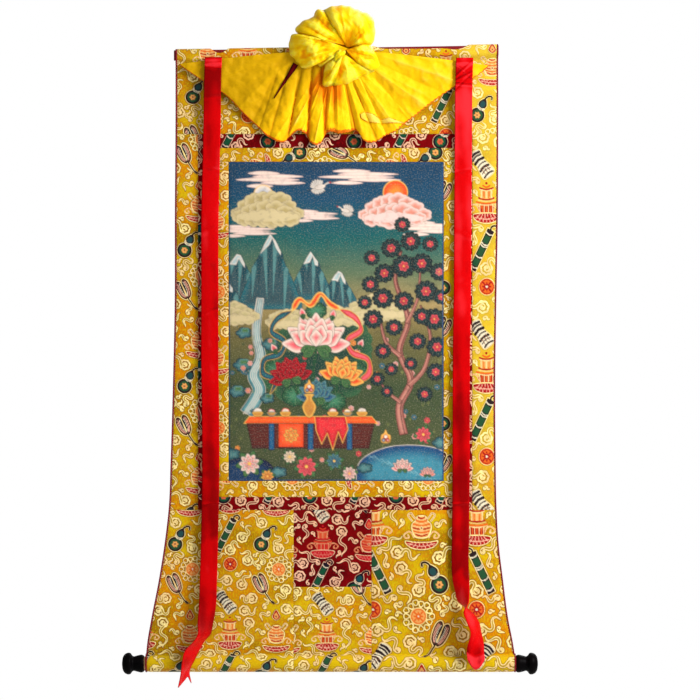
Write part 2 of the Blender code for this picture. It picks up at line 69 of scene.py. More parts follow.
def smooth_table(table, at, column=1):
    """One column of a table, read at places in its first column through a cubic curve whose slope at
    each row is the slope between its neighbours."""
    rows = np.array(table, float)
    if rows[0, 0] > rows[-1, 0]:
        rows = rows[::-1]
    place, value = rows[:, 0], rows[:, column]
    slope = np.gradient(value, place)
    at = np.clip(at, place[0], place[-1])
    k = np.clip(np.searchsorted(place, at) - 1, 0, len(place) - 2)
    step = place[k + 1] - place[k]
    t = (at - place[k]) / step
    return (
        value[k] * (1 + 2 * t) * (1 - t) ** 2
        + value[k + 1] * t * t * (3 - 2 * t)
        + step * (slope[k] * t * (1 - t) ** 2 - slope[k + 1] * t * t * (1 - t))
    )


def tone(*rgb):
    """A colour as the eye sees it, 0 to 255, as the share of light that a surface gives back. Light is
    ((c + 0.055) / 1.055) ^ 2.4, and the strength allows for how brightly the room is lit."""
    return tuple(TONE_STRENGTH * ((c / 255 + 0.055) / 1.055) ** 2.4 for c in rgb)


def unit(vectors):
    """Vectors of length one along the last axis."""
    return vectors / np.maximum(np.linalg.norm(vectors, axis=-1, keepdims=True), 1e-9)


# %% [markdown]
# ## The room
# The scroll was photographed square on, from far away, against white. A long lens keeps its edges
# parallel. The world looks white and gives about half the light, so it fills every fold softly, and a
# large lamp from the right gives the silk its sheen. The floor lies well below, because the scroll hangs.

# %% Camera, lamps and floor
VIEW_CENTRE = (20.1, -427.1)    # what the middle of the picture looks at, x and z
VIEW_WIDTH = 1006.6             # millimetres across the picture at the scroll
LENS = 180.0
SENSOR = 36.0
FLOOR_HEIGHT = -1450.0
FLOOR_RADIUS, FLOOR_SIDES = 2200.0, 96
WORLD_LIGHT = 0.39
LAMPS = (
    # name, place, size, watts
    ("key_lamp", (1600, -1150, 500), 1100, 89), ("fill_lamp", (-1500, -2200, 900), 1600, 9),
    ("back_lamp", (900, 2300, 1200), 1600, 31),
)


def aim(thing, place, target):
    """Puts a camera or lamp at a place, looking at a target, both in millimetres."""
    start, end = Vector(place) * METRE, Vector(target) * METRE
    thing.location = start
    thing.rotation_euler = (end - start).to_track_quat("-Z", "Y").to_euler()


def add_object(name, data):
    """A new object in the scene."""
    made = bpy.data.objects.new(name, data)
    bpy.context.scene.collection.objects.link(made)
    return made


def make_room():
    """Camera, lamps, white world and pale floor."""
    scene = bpy.context.scene
    lens = bpy.data.cameras.new("camera")
    lens.lens, lens.sensor_width = LENS, SENSOR
    scene.camera = add_object("camera", lens)
    away = VIEW_WIDTH * LENS / SENSOR
    target = (VIEW_CENTRE[0], 0.0, VIEW_CENTRE[1])
    aim(scene.camera, (VIEW_CENTRE[0], -away, VIEW_CENTRE[1]), target)
    for name, place, size, watts in LAMPS:
        lamp = bpy.data.lights.new(name, "AREA")
        lamp.shape, lamp.size, lamp.energy = "DISK", size * METRE, watts
        aim(add_object(name, lamp), place, target)
    world = bpy.data.worlds.new("white_room")
    world.use_nodes = True
    sky, links = world.node_tree.nodes["Background"], world.node_tree.links
    sky.inputs["Color"].default_value = (1, 1, 1, 1)
    ray = world.node_tree.nodes.new("ShaderNodeLightPath")
    strength = world.node_tree.nodes.new("ShaderNodeMapRange")
    strength.inputs["To Min"].default_value, strength.inputs["To Max"].default_value = WORLD_LIGHT, 1.0
    links.new(ray.outputs["Is Camera Ray"], strength.inputs["Value"])
    links.new(strength.outputs[0], sky.inputs["Strength"])
    scene.world = world
    scene.view_settings.view_transform = "Standard"
    around = np.linspace(0, 2 * math.pi, FLOOR_SIDES, endpoint=False)
    rim = np.stack([np.cos(around), np.sin(around), 0 * around], 1) * FLOOR_RADIUS
    rim = (rim + [VIEW_CENTRE[0], 0, FLOOR_HEIGHT]) * METRE
    mesh = bpy.data.meshes.new("floor")
    mesh.from_pydata(rim.tolist(), [], [list(range(FLOOR_SIDES))])
    paint = bpy.data.materials.new("pale_floor")
    paint.use_nodes = True
    shader = paint.node_tree.nodes["Principled BSDF"]
    shader.inputs["Base Color"].default_value = (0.95, 0.95, 0.94, 1)
    shader.inputs["Roughness"].default_value = 0.9
    mesh.materials.append(paint)
    add_object("floor", mesh)
    print("camera", round(away), "mm away")


make_room()

# %% [markdown]
# ## Cloth as a closed skin
# A real cloth has two faces and an edge. Blender's Solidify would double a fine grid, and the back
# needs no such detail. So the front is a fine grid, the back keeps every fourth point of it, one
# cloth's thickness behind, and a rim of triangles fans from the fine edge to the coarse one. The
# skin is closed, and nearly all of its faces are spent where they are seen.

# %% Mesh makers
BACK_STEP = 4       # the back keeps every fourth point of the front


def build_mesh(name, points, faces):
    """A mesh object from points in millimetres and arrays of faces, one array for each face size."""
    mesh = bpy.data.meshes.new(name)
    corners = np.concatenate([f.reshape(-1) for f in faces]).astype(np.int32)
    sizes = np.concatenate([np.full(len(f), f.shape[1]) for f in faces])
    mesh.vertices.add(len(points))
    mesh.vertices.foreach_set("co", (np.asarray(points) * METRE).astype(np.float32).ravel())
    mesh.loops.add(len(corners))
    mesh.loops.foreach_set("vertex_index", corners)
    mesh.polygons.add(len(sizes))
    mesh.polygons.foreach_set("loop_start", np.concatenate([[0], np.cumsum(sizes)[:-1]]).astype(np.int32))
    mesh.update(calc_edges=True)
    mesh.validate()
    mesh.shade_smooth()
    return add_object(name, mesh)


def mark(piece, name, values):
    """Stores a number or a colour at each point of a piece, for its material to read."""
    values = np.asarray(values, np.float32)
    if values.ndim == 1:
        piece.data.attributes.new(name, "FLOAT", "POINT").data.foreach_set("value", values)
    else:
        full = np.ones((len(values), 4), np.float32)
        full[:, :3] = values
        piece.data.attributes.new(name, "FLOAT_COLOR", "POINT").data.foreach_set("color", full.ravel())


def lay_out(piece, across, down):
    """A UV map named cloth: where each point lies on its flat cloth, in metres."""
    layer = piece.data.uv_layers.new(name="cloth")
    corner = np.zeros(len(piece.data.loops), np.int32)
    piece.data.loops.foreach_get("vertex_index", corner)
    flat = np.stack([across[corner], down[corner]], 1) * METRE
    layer.data.foreach_set("uv", flat.astype(np.float32).ravel())


def grid_border(rows, columns):
    """The corners round a grid's edge: down the left, along the bottom, up the right and back."""
    corner = np.arange(rows * columns).reshape(rows, columns)
    return np.concatenate([corner[:-1, 0], corner[-1, :-1], corner[:0:-1, -1], corner[0, :0:-1]])


def grid_quads(rows, columns):
    """A grid's faces, turned to a viewer who sees the rows run down and the columns run right."""
    corner = np.arange(rows * columns).reshape(rows, columns)
    around = [corner[:-1, :-1], corner[1:, :-1], corner[1:, 1:], corner[:-1, 1:]]
    return np.stack([c.ravel() for c in around], 1)


def surface_normals(points):
    """At each point of a grid, the unit cross product of the ways down and across."""
    return unit(np.cross(np.gradient(points, axis=0), np.gradient(points, axis=1)))


def sheet_skin(front, thickness, straight):
    """Points and faces of a closed cloth: the front grid, the back a thickness behind it at every
    fourth point (straight along Y, or else square to the front), and a rim that fans from each back
    corner to the front's edge. Also says which front point each point belongs to. Rows and columns
    less one are multiples of four."""
    rows, columns = front.shape[:2]
    step = BACK_STEP
    toward = np.array([0.0, -1.0, 0.0]) if straight else surface_normals(front)
    back = (front - toward * thickness)[::step, ::step]
    few_rows, few_columns = back.shape[:2]
    count = rows * columns
    owner = np.arange(count).reshape(rows, columns)
    owner = np.concatenate([owner.ravel(), owner[::step, ::step].ravel()])
    edge = grid_border(rows, columns)
    behind = grid_border(few_rows, few_columns) + count
    place = np.arange(len(edge))
    span, within = place // step, place % step
    apex = np.where(within < step / 2, behind[span], behind[(span + 1) % len(behind)])
    fan = np.stack([np.roll(edge, -1), edge, apex], 1)
    close = np.stack([edge[step // 2 :: step], behind, np.roll(behind, -1)], 1)
    faces = [grid_quads(rows, columns), grid_quads(few_rows, few_columns)[:, ::-1] + count, fan, close]
    points = np.vstack([front.reshape(-1, 3), back.reshape(-1, 3)])
    return points, faces, owner


def whole_steps(length, spacing, step=BACK_STEP):
    """How many grid points cover a length at about a spacing, so that the back's steps fit too."""
    return max(1, round(length / spacing / step)) * step + 1


def make_sheet(name, front, thickness, across, down, marks, reverse=False, straight=False):
    """A cloth from its front grid, with its flat places in millimetres as a map. marks are values on
    the grid that are stored at every point, and reverse marks the back too."""
    points, faces, owner = sheet_skin(front, thickness, straight)
    piece = build_mesh(name, points, faces)

    def at_points(values):
        values = np.asarray(values, float)
        full = np.broadcast_to(values, (*front.shape[:2], *values.shape[2:]))
        return full.reshape(-1, *values.shape[2:])[owner]

    for key, values in marks.items():
        mark(piece, key, at_points(values))
    if reverse:
        mark(piece, "reverse", np.arange(len(points)) >= front[..., 0].size)
    lay_out(piece, at_points(across), at_points(down))
    return piece


def tube_mesh(name, rings, ends, flip=False):
    """A closed tube through rings of points, with a fan from a middle point over each end."""
    count, sides = rings.shape[:2]
    corner = np.arange(count * sides).reshape(-1, sides)
    after = np.roll(corner, -1, 1)
    faces = [np.stack([corner[:-1], after[:-1], after[1:], corner[1:]], -1).reshape(-1, 4)]
    for middle, a, b in ((0, after[0], corner[0]), (1, corner[-1], after[-1])):
        faces.append(np.stack([np.full(sides, count * sides + middle), a, b], 1))
    points = np.vstack([rings.reshape(-1, 3), ends])
    return build_mesh(name, points, [f[:, ::-1] if flip else f for f in faces])


def finish_piece(piece, finish, slot, *nodes):
    """Gives a piece its material and its body, and hides the solids that it stands for. slot is not used."""
    piece.data.materials.append(finish)
    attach(piece, "root")
    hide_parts(*nodes)


def declare_sheet(piece, size):
    """Prints a cloth's name, its flat size in millimetres and how many triangles it has."""
    faces = sum(len(p.vertices) - 2 for p in piece.data.polygons)
    print(f"{piece.name:26s} {size[0]:6.1f} x {size[1]:5.1f} mm {faces:7d} triangles")


# %% [markdown]
# ## A short way to write shader nodes
# Blender's materials are graphs. One helper adds a node and fills its sockets, whether from numbers
# or from other nodes. On top of it come the few things that every cloth here needs: a soft-edged
# mask from a stored distance, a blend of two colours, cloudy variation and fine threads.

# %% Node helpers
CLOTH_MAP = "cloth"
MASK_EDGE = 0.35        # half the width of a mask's soft edge, in millimetres


def node(tree, kind, sockets=None, **settings):
    """Adds one node, with its settings and its sockets filled from numbers or other outputs."""
    made = tree.nodes.new("ShaderNode" + kind)
    for name, value in settings.items():
        setattr(made, name, value)
    for socket, value in (sockets or {}).items():
        if isinstance(value, bpy.types.NodeSocket):
            tree.links.new(value, made.inputs[socket])
        else:
            made.inputs[socket].default_value = value
    return made


def new_finish(name, **constants):
    """A material with an empty graph but for its Principled shader, whose constants are set."""
    material = bpy.data.materials.new(name)
    material.use_nodes = True
    tree = material.node_tree
    shader = tree.nodes["Principled BSDF"]
    for socket, value in constants.items():
        shader.inputs[socket.replace("_", " ")].default_value = value
    return material, tree, shader


def stored(tree, name):
    """The output of a stored attribute: a colour and a number."""
    return node(tree, "Attribute", attribute_name=name)


def ramp(tree, value, low, high, to_low=0, to_high=1):
    """A soft step of a value from low to high."""
    made = node(tree, "MapRange", {0: value, 1: low, 2: high, 3: to_low, 4: to_high})
    made.interpolation_type = "SMOOTHSTEP"
    return made.outputs[0]


def mask(tree, name):
    """1 inside a drawn line or patch and 0 outside it, from its stored distance in millimetres."""
    return ramp(tree, stored(tree, name).outputs["Fac"], -MASK_EDGE, MASK_EDGE)


def blend(tree, share, *colours):
    """Two colours mixed by a share."""
    first, second = ((*colour, 1) if isinstance(colour, tuple) else colour for colour in colours)
    return node(tree, "Mix", {0: share, 6: first, 7: second}, data_type="RGBA").outputs[2]


def coats(tree, base, *rows):
    """Colours laid one over another. Each row is a value, where its soft step starts and ends, the
    share of the colour there, and the colour."""
    for value, low, high, share_low, share_high, colour in rows:
        base = blend(tree, ramp(tree, value, low, high, share_low, share_high), base, colour)
    return base


def maths(tree, operation, *values):
    """One sum on numbers."""
    return node(tree, "Math", dict(enumerate(values)), operation=operation).outputs[0]


def cloudy(tree, vector, scale, detail, stretch=(1.0, 1.0, 1.0)):
    """Noise from 0 to 1, its cells stretched along some axes."""
    place = node(tree, "Mapping", {"Vector": vector, "Scale": stretch})
    sockets = {"Vector": place.outputs[0], "Scale": scale, "Detail": detail}
    return node(tree, "TexNoise", sockets).outputs["Fac"]


def threads(tree, vector, pitch, direction):
    """A wave of threads a pitch apart in metres, running across one axis of the cloth."""
    sockets = {"Vector": vector, "Scale": 2 * math.pi / pitch / 20, "Distortion": 0.6}
    sockets |= {"Detail": 1.0, "Detail Scale": 1.5}
    return node(tree, "TexWave", sockets, bands_direction=direction).outputs["Fac"]


def woven(tree, cloth, warp, weft):
    """The crossings of two sets of threads, by their pitches."""
    return maths(tree, "MULTIPLY", threads(tree, cloth, warp, "X"), threads(tree, cloth, weft, "Y"))


def wire(tree, shader, height, distance, strength, **sources):
    """Links outputs to the shader's sockets, and raises its surface by a height."""
    bump = node(tree, "Bump", {"Height": height, "Distance": distance, "Strength": strength})
    tree.links.new(bump.outputs[0], shader.inputs["Normal"])
    for socket, output in sources.items():
        tree.links.new(output, shader.inputs[socket.replace("_", " ")])


# %% [markdown]
# ## Where the mount hangs
# The mount is one made-up cloth: it goes over the batten's crown, falls, and closes round the roller
# as a sleeve. Its section is a path of arcs and straight runs, and its two outer edges are curves
# that flare at the skirt. With the section giving depth and height, and the place across giving x,
# every panel is a window on one surface, so that neighbours always meet at their seams.

# %% The mount's surface
SEAM_GAP, CLOTH = 0.3, 1.5
BATTEN_HALF_HEIGHT, BATTEN_HALF_DEPTH = 7.4, 3.5
BATTEN_SLOPE, LEVEL_FROM, LEVEL_TO = 0.0155, -20.0, -100.0
TOP_SEAM, GOLD_TOP, PICTURE_TOP = -116.5, -136.6, -156.7
PICTURE_BOTTOM, GOLD_BOTTOM, SKIRT_SEAM, DOOR_BOTTOM = -615.5, -638.5, -657.2, -767.9
MAROON_LEFT, MAROON_RIGHT = -198.4, 195.6
GOLD_LEFT, GOLD_RIGHT = -176.9, 174.0
PICTURE_LEFT, PICTURE_RIGHT = -154.6, 154.6
DOOR_LEFT, DOOR_RIGHT = -61.1, 51.0
ROLLER_HEIGHT, ROLLER_RADIUS = -878.0, 10.3
ROLLER_LEFT, ROLLER_RIGHT = -275.8, 258.4
SLEEVE_END, SLEEVE_FILLET = math.radians(434), 2.5
PIPING_RADIUS = 0.9
OUTLINE = (
    # height, left edge, right edge
    (20, -230.6, 233), (-96, -230.6, 233), (-240, -231.6, 232.4), (-355, -231.8, 230.4),
    (-470, -234.2, 228.8), (-585, -237.6, 229.4), (-657, -240.6, 230.8), (-700, -245.6, 233.2),
    (-758, -254.6, 240), (-815, -265.6, 247.6), (-850, -271.4, 254.4), (-870, -273.2, 257.4),
    (-960, -273.2, 257.4),
)
SLEEVE_RADIUS = ROLLER_RADIUS + SEAM_GAP + CLOTH / 2
BATTEN_WRAP = BATTEN_HALF_DEPTH + SEAM_GAP + CLOTH / 2
BATTEN_FLAT = BATTEN_HALF_HEIGHT - BATTEN_HALF_DEPTH
PINCH = -14.0
FILLET_HEIGHT = ROLLER_HEIGHT + math.sqrt((SLEEVE_RADIUS + SLEEVE_FILLET) ** 2 - SLEEVE_FILLET**2)


def arc(centre_y, centre_z, radius, start, end, steps):
    """Points of an arc in the Y-Z plane, from one angle to another."""
    angle = np.linspace(start, end, steps)
    return np.stack([centre_y + radius * np.cos(angle), centre_z + radius * np.sin(angle)], 1)


def mount_section():
    """The mount's middle line from crown to sleeve's end: a quarter round, a flat, an S-curve in under
    the batten, the hanging plane, a small fillet and the sleeve's arc. With each point's distance."""
    crown = arc(0, BATTEN_FLAT, BATTEN_WRAP, math.pi / 2, math.pi, 16)
    fall = np.linspace(0, 1, 24)[1:]
    under = np.stack(
        [-BATTEN_WRAP * (1 - smooth_step(0, 1, fall)), -BATTEN_FLAT + fall * (PINCH + BATTEN_FLAT)], 1
    )
    turn = math.atan2(FILLET_HEIGHT - ROLLER_HEIGHT, SLEEVE_FILLET)
    fillet = arc(-SLEEVE_FILLET, FILLET_HEIGHT, SLEEVE_FILLET, 0, -turn, 12)
    sleeve = arc(0, ROLLER_HEIGHT, SLEEVE_RADIUS, math.pi - turn, SLEEVE_END, 90)[1:]
    points = np.vstack([crown, [[-BATTEN_WRAP, -BATTEN_FLAT]], under, fillet, sleeve])
    along = np.concatenate([[0], np.cumsum(np.linalg.norm(np.diff(points, axis=0), axis=1))])
    return points, along, float(along[len(crown) + len(under)])


SECTION, SECTION_ALONG, PLANE_START = mount_section()
SECTION_END = float(SECTION_ALONG[-1])


def down_to(height):
    """How far along the section the hanging plane reaches this height."""
    return PLANE_START + PINCH - height


def hang(x, z):
    """How far the cloth waves out of its plane: upright sine waves, wider in the skirt, that die out
    at the batten and the roller, with small ripples laid over them."""
    held = smooth_step(-20, -110, z) * smooth_step(-852, -780, z)
    upper = 1.3 * np.sin(x / 61.0 + z / 210.0 + 0.6) + 0.8 * np.sin(x / 34.0 - z / 300.0)
    skirt = 2.6 * np.sin(x / 40.0 + 0.9) * smooth_step(-560, -740, z)
    ripple = 0.22 * np.sin(x / 9.0 + z / 37.0) * np.sin(z / 23.0 - x / 61.0 + 1.3)
    return held * (upper + skirt + ripple)


def on_mount(along, x):
    """Points of the mount's middle surface at places along the section and across it."""
    y = np.interp(along, SECTION_ALONG, SECTION[:, 0])
    z = np.interp(along, SECTION_ALONG, SECTION[:, 1])
    y = y + hang(x, z)
    z = z + BATTEN_SLOPE * x * smooth_step(LEVEL_TO, LEVEL_FROM, z)
    return np.stack([x, y, z], -1)


def outer_edge(column):
    """A function that gives the mount's left (1) or right (2) edge at a height."""
    return lambda z: smooth_table(OUTLINE, z, column)


outer_left, outer_right = outer_edge(1), outer_edge(2)


def edge_heights(along):
    """The height that the outer edge is read at: the section's own, and the roller's on the sleeve."""
    height = np.interp(along, SECTION_ALONG, SECTION[:, 1])
    return np.where(along > down_to(FILLET_HEIGHT), ROLLER_HEIGHT, height)


print("the mount's cloth is", round(SECTION_END), "mm long from crown to sleeve's end")

# %% [markdown]
# ## Drawing with distances
# A woven motif has crisp edges, but a mesh can only store numbers at its points. If the number is a
# distance to the motif's edge, the shader finds the edge again between the points, as sharp as it
# likes. So each motif is drawn on a small chart as a signed distance: positive inside, negative
# outside, in millimetres. A chart repeats, and what runs over one side comes in at the other.

# %% A chart and its drawing tools
CHART_STEP = 0.25       # millimetres between the chart's places
FAR = 9.0               # a distance that means nowhere near


def new_chart(width, length, step):
    """An empty chart: pale and brown lines, woven figures and the figures' colours."""
    shape = (round(length / step), round(width / step))
    chart = {field: np.full(shape, -FAR) for field in ("pale", "brown", "figure")}
    return {**chart, "colour": np.zeros((*shape, 3)), "step": step}


def window(chart, path, margin):
    """The part of a chart round a path, wrapped at its sides, and the x and y of its places."""
    step, (rows, columns) = chart["step"], chart["figure"].shape
    low, high = path.min(0) - margin, path.max(0) + margin
    column = np.arange(math.floor(low[0] / step), math.ceil(high[0] / step) + 1)
    row = np.arange(math.floor(low[1] / step), math.ceil(high[1] / step) + 1)
    x, y = np.meshgrid(column * step, row * step)
    return np.ix_(row % rows, column % columns), x, y


def path_distance(path, x, y):
    """Distance from each place to a path of straight steps: the least over its steps, each by the
    foot of the perpendicular, held between the step's ends."""
    start = path[:-1, :, None, None]
    run = (path[1:] - path[:-1])[:, :, None, None]
    to_x, to_y = x - start[:, 0], y - start[:, 1]
    share = (to_x * run[:, 0] + to_y * run[:, 1]) / np.maximum(run[:, 0] ** 2 + run[:, 1] ** 2, 1e-9)
    share = np.clip(share, 0, 1)
    return np.hypot(to_x - share * run[:, 0], to_y - share * run[:, 1]).min(0)


def inside_path(path, x, y):
    """True where a ray to the right crosses the closed path an odd number of times."""
    a, b = path[:, :, None, None], np.roll(path, -1, 0)[:, :, None, None]
    rise = np.where(np.abs(b[:, 1] - a[:, 1]) < 1e-9, 1e-9, b[:, 1] - a[:, 1])
    crosses = (a[:, 1] > y) != (b[:, 1] > y)
    at = a[:, 0] + (y - a[:, 1]) * (b[:, 0] - a[:, 0]) / rise
    return (crosses & (x < at)).sum(0) % 2 == 1


def closed(path):
    """A path that ends where it starts."""
    return np.vstack([path, path[:1]])


def patch_distance(path, x, y):
    """Signed distance to a closed path: positive inside."""
    away = path_distance(closed(path), x, y)
    return np.where(inside_path(path, x, y), away, -away)


def line(chart, field, path, half):
    """A line of a half width, added to the pale or the brown lines."""
    place, x, y = window(chart, path, half + 2.0)
    chart[field][place] = np.maximum(chart[field][place], half - path_distance(path, x, y))


def figure(chart, path, colour, half=None):
    """A woven figure in one colour: a patch inside a closed path, or a line if half is given. What
    lay under it is covered."""
    place, x, y = window(chart, path, 2.0 + (half or 0.0))
    depth = patch_distance(path, x, y) if half is None else half - path_distance(path, x, y)
    covered = (depth > np.where(chart["figure"][place] > 0.3, 0.0, -0.45))[..., None]
    chart["colour"][place] = np.where(covered, colour, chart["colour"][place])
    chart["figure"][place] = np.maximum(chart["figure"][place], depth)
    chart["pale"][place] = np.minimum(chart["pale"][place], -depth)
    chart["brown"][place] = np.minimum(chart["brown"][place], -depth)


def curve(points, closed=False, steps=7):
    """A smooth path through a few points, with the slope at each one taken from its neighbours."""
    points = np.array(points, float)
    ends = [points[-1:], points, points[:2]] if closed else [points[:1], points, points[-1:]]
    padded = np.vstack(ends)
    slope = (padded[2:] - padded[:-2]) / 2
    first = padded[1:-1]
    count = len(first) - 1
    t = np.linspace(0, 1, steps, endpoint=False)[None, :, None]
    a, b = first[:count, None], first[1:, None]
    p, q = slope[:count, None], slope[1:, None]
    path = a * (1 + 2 * t) * (1 - t) ** 2 + b * t * t * (3 - 2 * t)
    path = (path + p * t * (1 - t) ** 2 - q * t * t * (1 - t)).reshape(-1, 2)
    return path if closed else np.vstack([path, points[-1:]])


def ring(x, y, across, tall=None, lobes=0, depth=0.0, start=0.0, end=360.0, steps=36):
    """A round or oval path, scalloped if it has lobes: radius 1 - depth + depth times the absolute
    sine of half the lobes' angle."""
    angle = np.radians(np.linspace(start, end, steps, endpoint=end - start < 360))
    radius = 1 - depth + depth * np.abs(np.sin(lobes * angle / 2)) if lobes else np.ones(steps)
    return np.stack([x + across * radius * np.cos(angle), y + (tall or across) * radius * np.sin(angle)], 1)


def ribbon_path(middle, half_widths):
    """A closed outline round a line, at half widths read along it."""
    run = unit(np.gradient(middle, axis=0))
    side = np.stack([-run[:, 1], run[:, 0]], 1)
    half = np.interp(np.linspace(0, 1, len(middle)), np.linspace(0, 1, len(half_widths)), half_widths)
    return np.vstack([middle + side * half[:, None], (middle - side * half[:, None])[::-1]])


def both_sides(half):
    """The points of one side, then the same points mirrored, back to the start."""
    half = np.array(half, float)
    other = half[::-1] * (-1, 1)
    return np.vstack([half, other[other[:, 0] != 0]])


def box(left, top, right, bottom):
    """The four corners of a box."""
    return [(left, top), (right, top), (right, bottom), (left, bottom)]


def placed(path, at, turn, size=1.0, mirror=False):
    """A path scaled, mirrored, turned by degrees and moved to its place."""
    path = np.asarray(path, float) * size * (-1 if mirror else 1, 1)
    c, s = math.cos(math.radians(turn)), math.sin(math.radians(turn))
    return path @ np.array([[c, s], [-s, c]]) + at


# %% [markdown]
# ## The brocade's design
# The mount is woven with the old emblems of good luck: a gourd, a flute, round medallions, a palm
# fan, a pair of clappers, a vase with a flame jewel and a small pagoda, each on its lotus, with
# clouds that trail pale ribbons between them. The design is traditional and repeats every 124 by
# 196 mm. It could be painted by hand on the cloth, but one repeat drawn from rings and curves serves
# every panel, in gold and in maroon, upright, mirrored or turned.

# %% The emblems
REPEAT = (124.0, 195.6)
NAVY, GREEN, TEAL = tone(26, 22, 34), tone(16, 78, 52), tone(14, 72, 76)
WHITE, ROAN, PEACH = tone(234, 222, 190), tone(92, 54, 48), tone(238, 164, 88)
CRIMSON, ORANGE, RUST = tone(168, 14, 28), tone(226, 100, 34), tone(132, 82, 60)
BLUSH, SAND = tone(244, 178, 150), tone(242, 208, 142)


def emblem(parts, at, turn=0.0, size=1.0):
    """Draws an emblem's parts in order. A part is a path, its colour, or None for the pale line silk,
    and the half width of a line. A part with no half width is a patch."""
    for path, colour, *half in parts:
        path = placed(path, at, turn, size)
        if colour is None:
            line(design, "pale", path, half[0])
        else:
            figure(design, path, colour, half[0] * size if half else None)


def outlined(path, colour, half):
    """A patch with a pale line round it."""
    return [(path, colour), (closed(path), None, half)]


def gourd():
    """A double gourd, upright: a ringed bulb with a flower, a white collar and a hooked stem."""
    stem = curve([(0.5, -14), (0.3, -18), (3, -22), (7, -23), (8.5, -20)])
    bottle = curve(both_sides([(0, -17), (4.6, -12), (6, -7.5), (3.6, -2.6)]), True)
    body = ring(0, 8.5, 10.4)
    return [
        (stem, None, 1.9), (closed(bottle), None, 1.1), (closed(body), None, 1.1), (body, NAVY),
        (ring(0, 8.5, 7.6), GREEN), (ring(0, 8.5, 4.6, lobes=6, depth=0.3), PEACH),
        (ring(0, 8.5, 1.5), RUST), (bottle, NAVY), (ring(0, -8.4, 3.9, 4.6), TEAL),
        (ring(0, -7.5, 7.4, start=35, end=145, steps=10), WHITE, 0.55),
        (ring(0, -9.5, 7.2, start=40, end=140, steps=10), WHITE, 0.35), (stem, NAVY, 1.1),
    ]


def flute():
    """A flute with a tasselled hook: a dark rod cut into green lengths by white bands."""
    rod = box(-4.6, -25, 4.6, 27)
    hook = curve([(0, -24), (-1, -28), (2.5, -31.5), (6.5, -30), (6, -26.5)])
    parts = [(hook, None, 1.9), (closed(rod), None, 1.1), (rod, NAVY)]
    parts += [(box(-3.7, low, 3.7, high), GREEN) for low, high in ((-17, -8), (-2, 8), (12, 21))]
    for y in (-19.5, -6.3, -3.9, 9.8, 23):
        parts.append((curve([(-4.4, y - 0.9), (0, y + 0.6), (4.4, y - 0.9)], steps=3), WHITE, 0.65))
    return [*parts, (hook, NAVY, 1.0)]


def medallion(ground, lines):
    """A round medallion: two rings and a lattice of arcs round a small centre."""
    parts = outlined(ring(0, 0, 9.9), ground, 0.5)
    parts += [(ring(0, 0, r, end=360.1), lines, 0.55) for r in (8.0, 3.0)]
    for turn in (0, 90, 180, 270):
        bow = placed(ring(8.4, 0, 6.4, start=128, end=232, steps=9), (0, 0), turn)
        parts += [(bow, lines, 0.6), (placed(bow, (0, 0), 45, 0.8), lines, 0.45)]
    return [*parts, (ring(0, 0, 1.3), WHITE)]


def palm_fan():
    """A palm fan: two ribbed leaves side by side on a dark handle with a knob."""
    grip = [(1.5, 18), (3, 27), (6, 33)]
    parts = [(curve([(0, 8), *grip]), None, 1.8)]
    for side in (-1, 1):
        leaf = np.array([(1.2, 13), (7.5, 8), (9.8, -3), (9.2, -13), (5, -17.5), (0.8, -13), (1.1, 0)])
        leaf = curve(leaf * (side, 1), True)
        rib = curve(np.array([(2.8, 9), (5.6, 3), (6.6, -6), (5.4, -13)]) * (side, 1))
        parts += [(closed(leaf), None, 1.3), (leaf, NAVY), (rib, ROAN, 2.6)]
        parts += [(rib + (side * 1.1, 0), BLUSH, 0.42), (rib - (side * 0.7, 0), BLUSH, 0.42)]
        parts.append((rib - (side * 2.6, 0), WHITE, 0.4))
    handle = curve([(0, 10), *grip])
    return [*parts, (handle, NAVY, 0.9), (handle[-5:], NAVY, 1.5)]


def clappers():
    """A bundle of wooden clappers: dark and white slats, bound at one end."""
    case = curve(both_sides([(0, -17), (7.5, -14), (5.5, -3), (8, 10), (6.5, 17)]), True)
    parts = [(closed(case), None, 1.2), (case, WHITE)]
    for y, half in ((-13.2, 1.5), (-9.6, 1.1), (-4.6, 1.7), (0.4, 0.8), (5.6, 1.5), (9.6, 0.6), (14.6, 1.1)):
        parts.append((curve([(-6.2, y + 0.8), (0, y - 0.7), (6.2, y + 0.8)], steps=4), NAVY, half))
    return [*parts, *(([(x, 4.0), (x, 12.5)], RUST, 0.45) for x in (-3.4, 0.2, 3.8))]


def lotus_seat(y, across, top):
    """A lotus seat: a crimson bowl cut into two rows of petals by pale lines. top says how far its
    upper edge dips or rises in the middle."""
    side = [(across * 0.4, y - 2.6 - top * 0.8), (across, y - 3.4), (across * 0.72, y + 3.6), (0, y + 6.4)]
    middle = [(-across * 0.86, y - 0.6), (0, y + 2.4 - top * 0.25), (across * 0.86, y - 0.6)]
    parts = [*outlined(curve(both_sides(side), True), CRIMSON, 0.65), (curve(middle), BLUSH, 0.42)]
    for row, count, low, high in ((0, 6, 0.56, 0.80), (1, 7, 0.80, 0.98)):
        for share in np.linspace(-0.84, 0.84, count):
            rise = (1 - share * share) * 4.0
            foot = (share * across * low, y - 3.0 - top * 0.5 + row * (2.0 + rise * 0.9))
            tip = (share * across * high, y - 0.8 + row * 1.6 + rise * (0.7 + 0.7 * row))
            parts.append(([foot, tip], BLUSH, 0.42))
    return parts


def flame_jewel(y):
    """A pointed jewel with a crimson edge and a peach heart."""
    drop = curve(both_sides([(0, y - 8.5), (4.2, y - 2.5), (5.6, y + 2.5), (0, y + 6.6)]), True)
    heart = curve(both_sides([(0, y - 4.4), (3.2, y + 1.4), (0, y + 4.8)]), True)
    return [*outlined(drop, CRIMSON, 0.5), (heart, PEACH), (ring(0, y + 1.4, 1.4), RUST)]


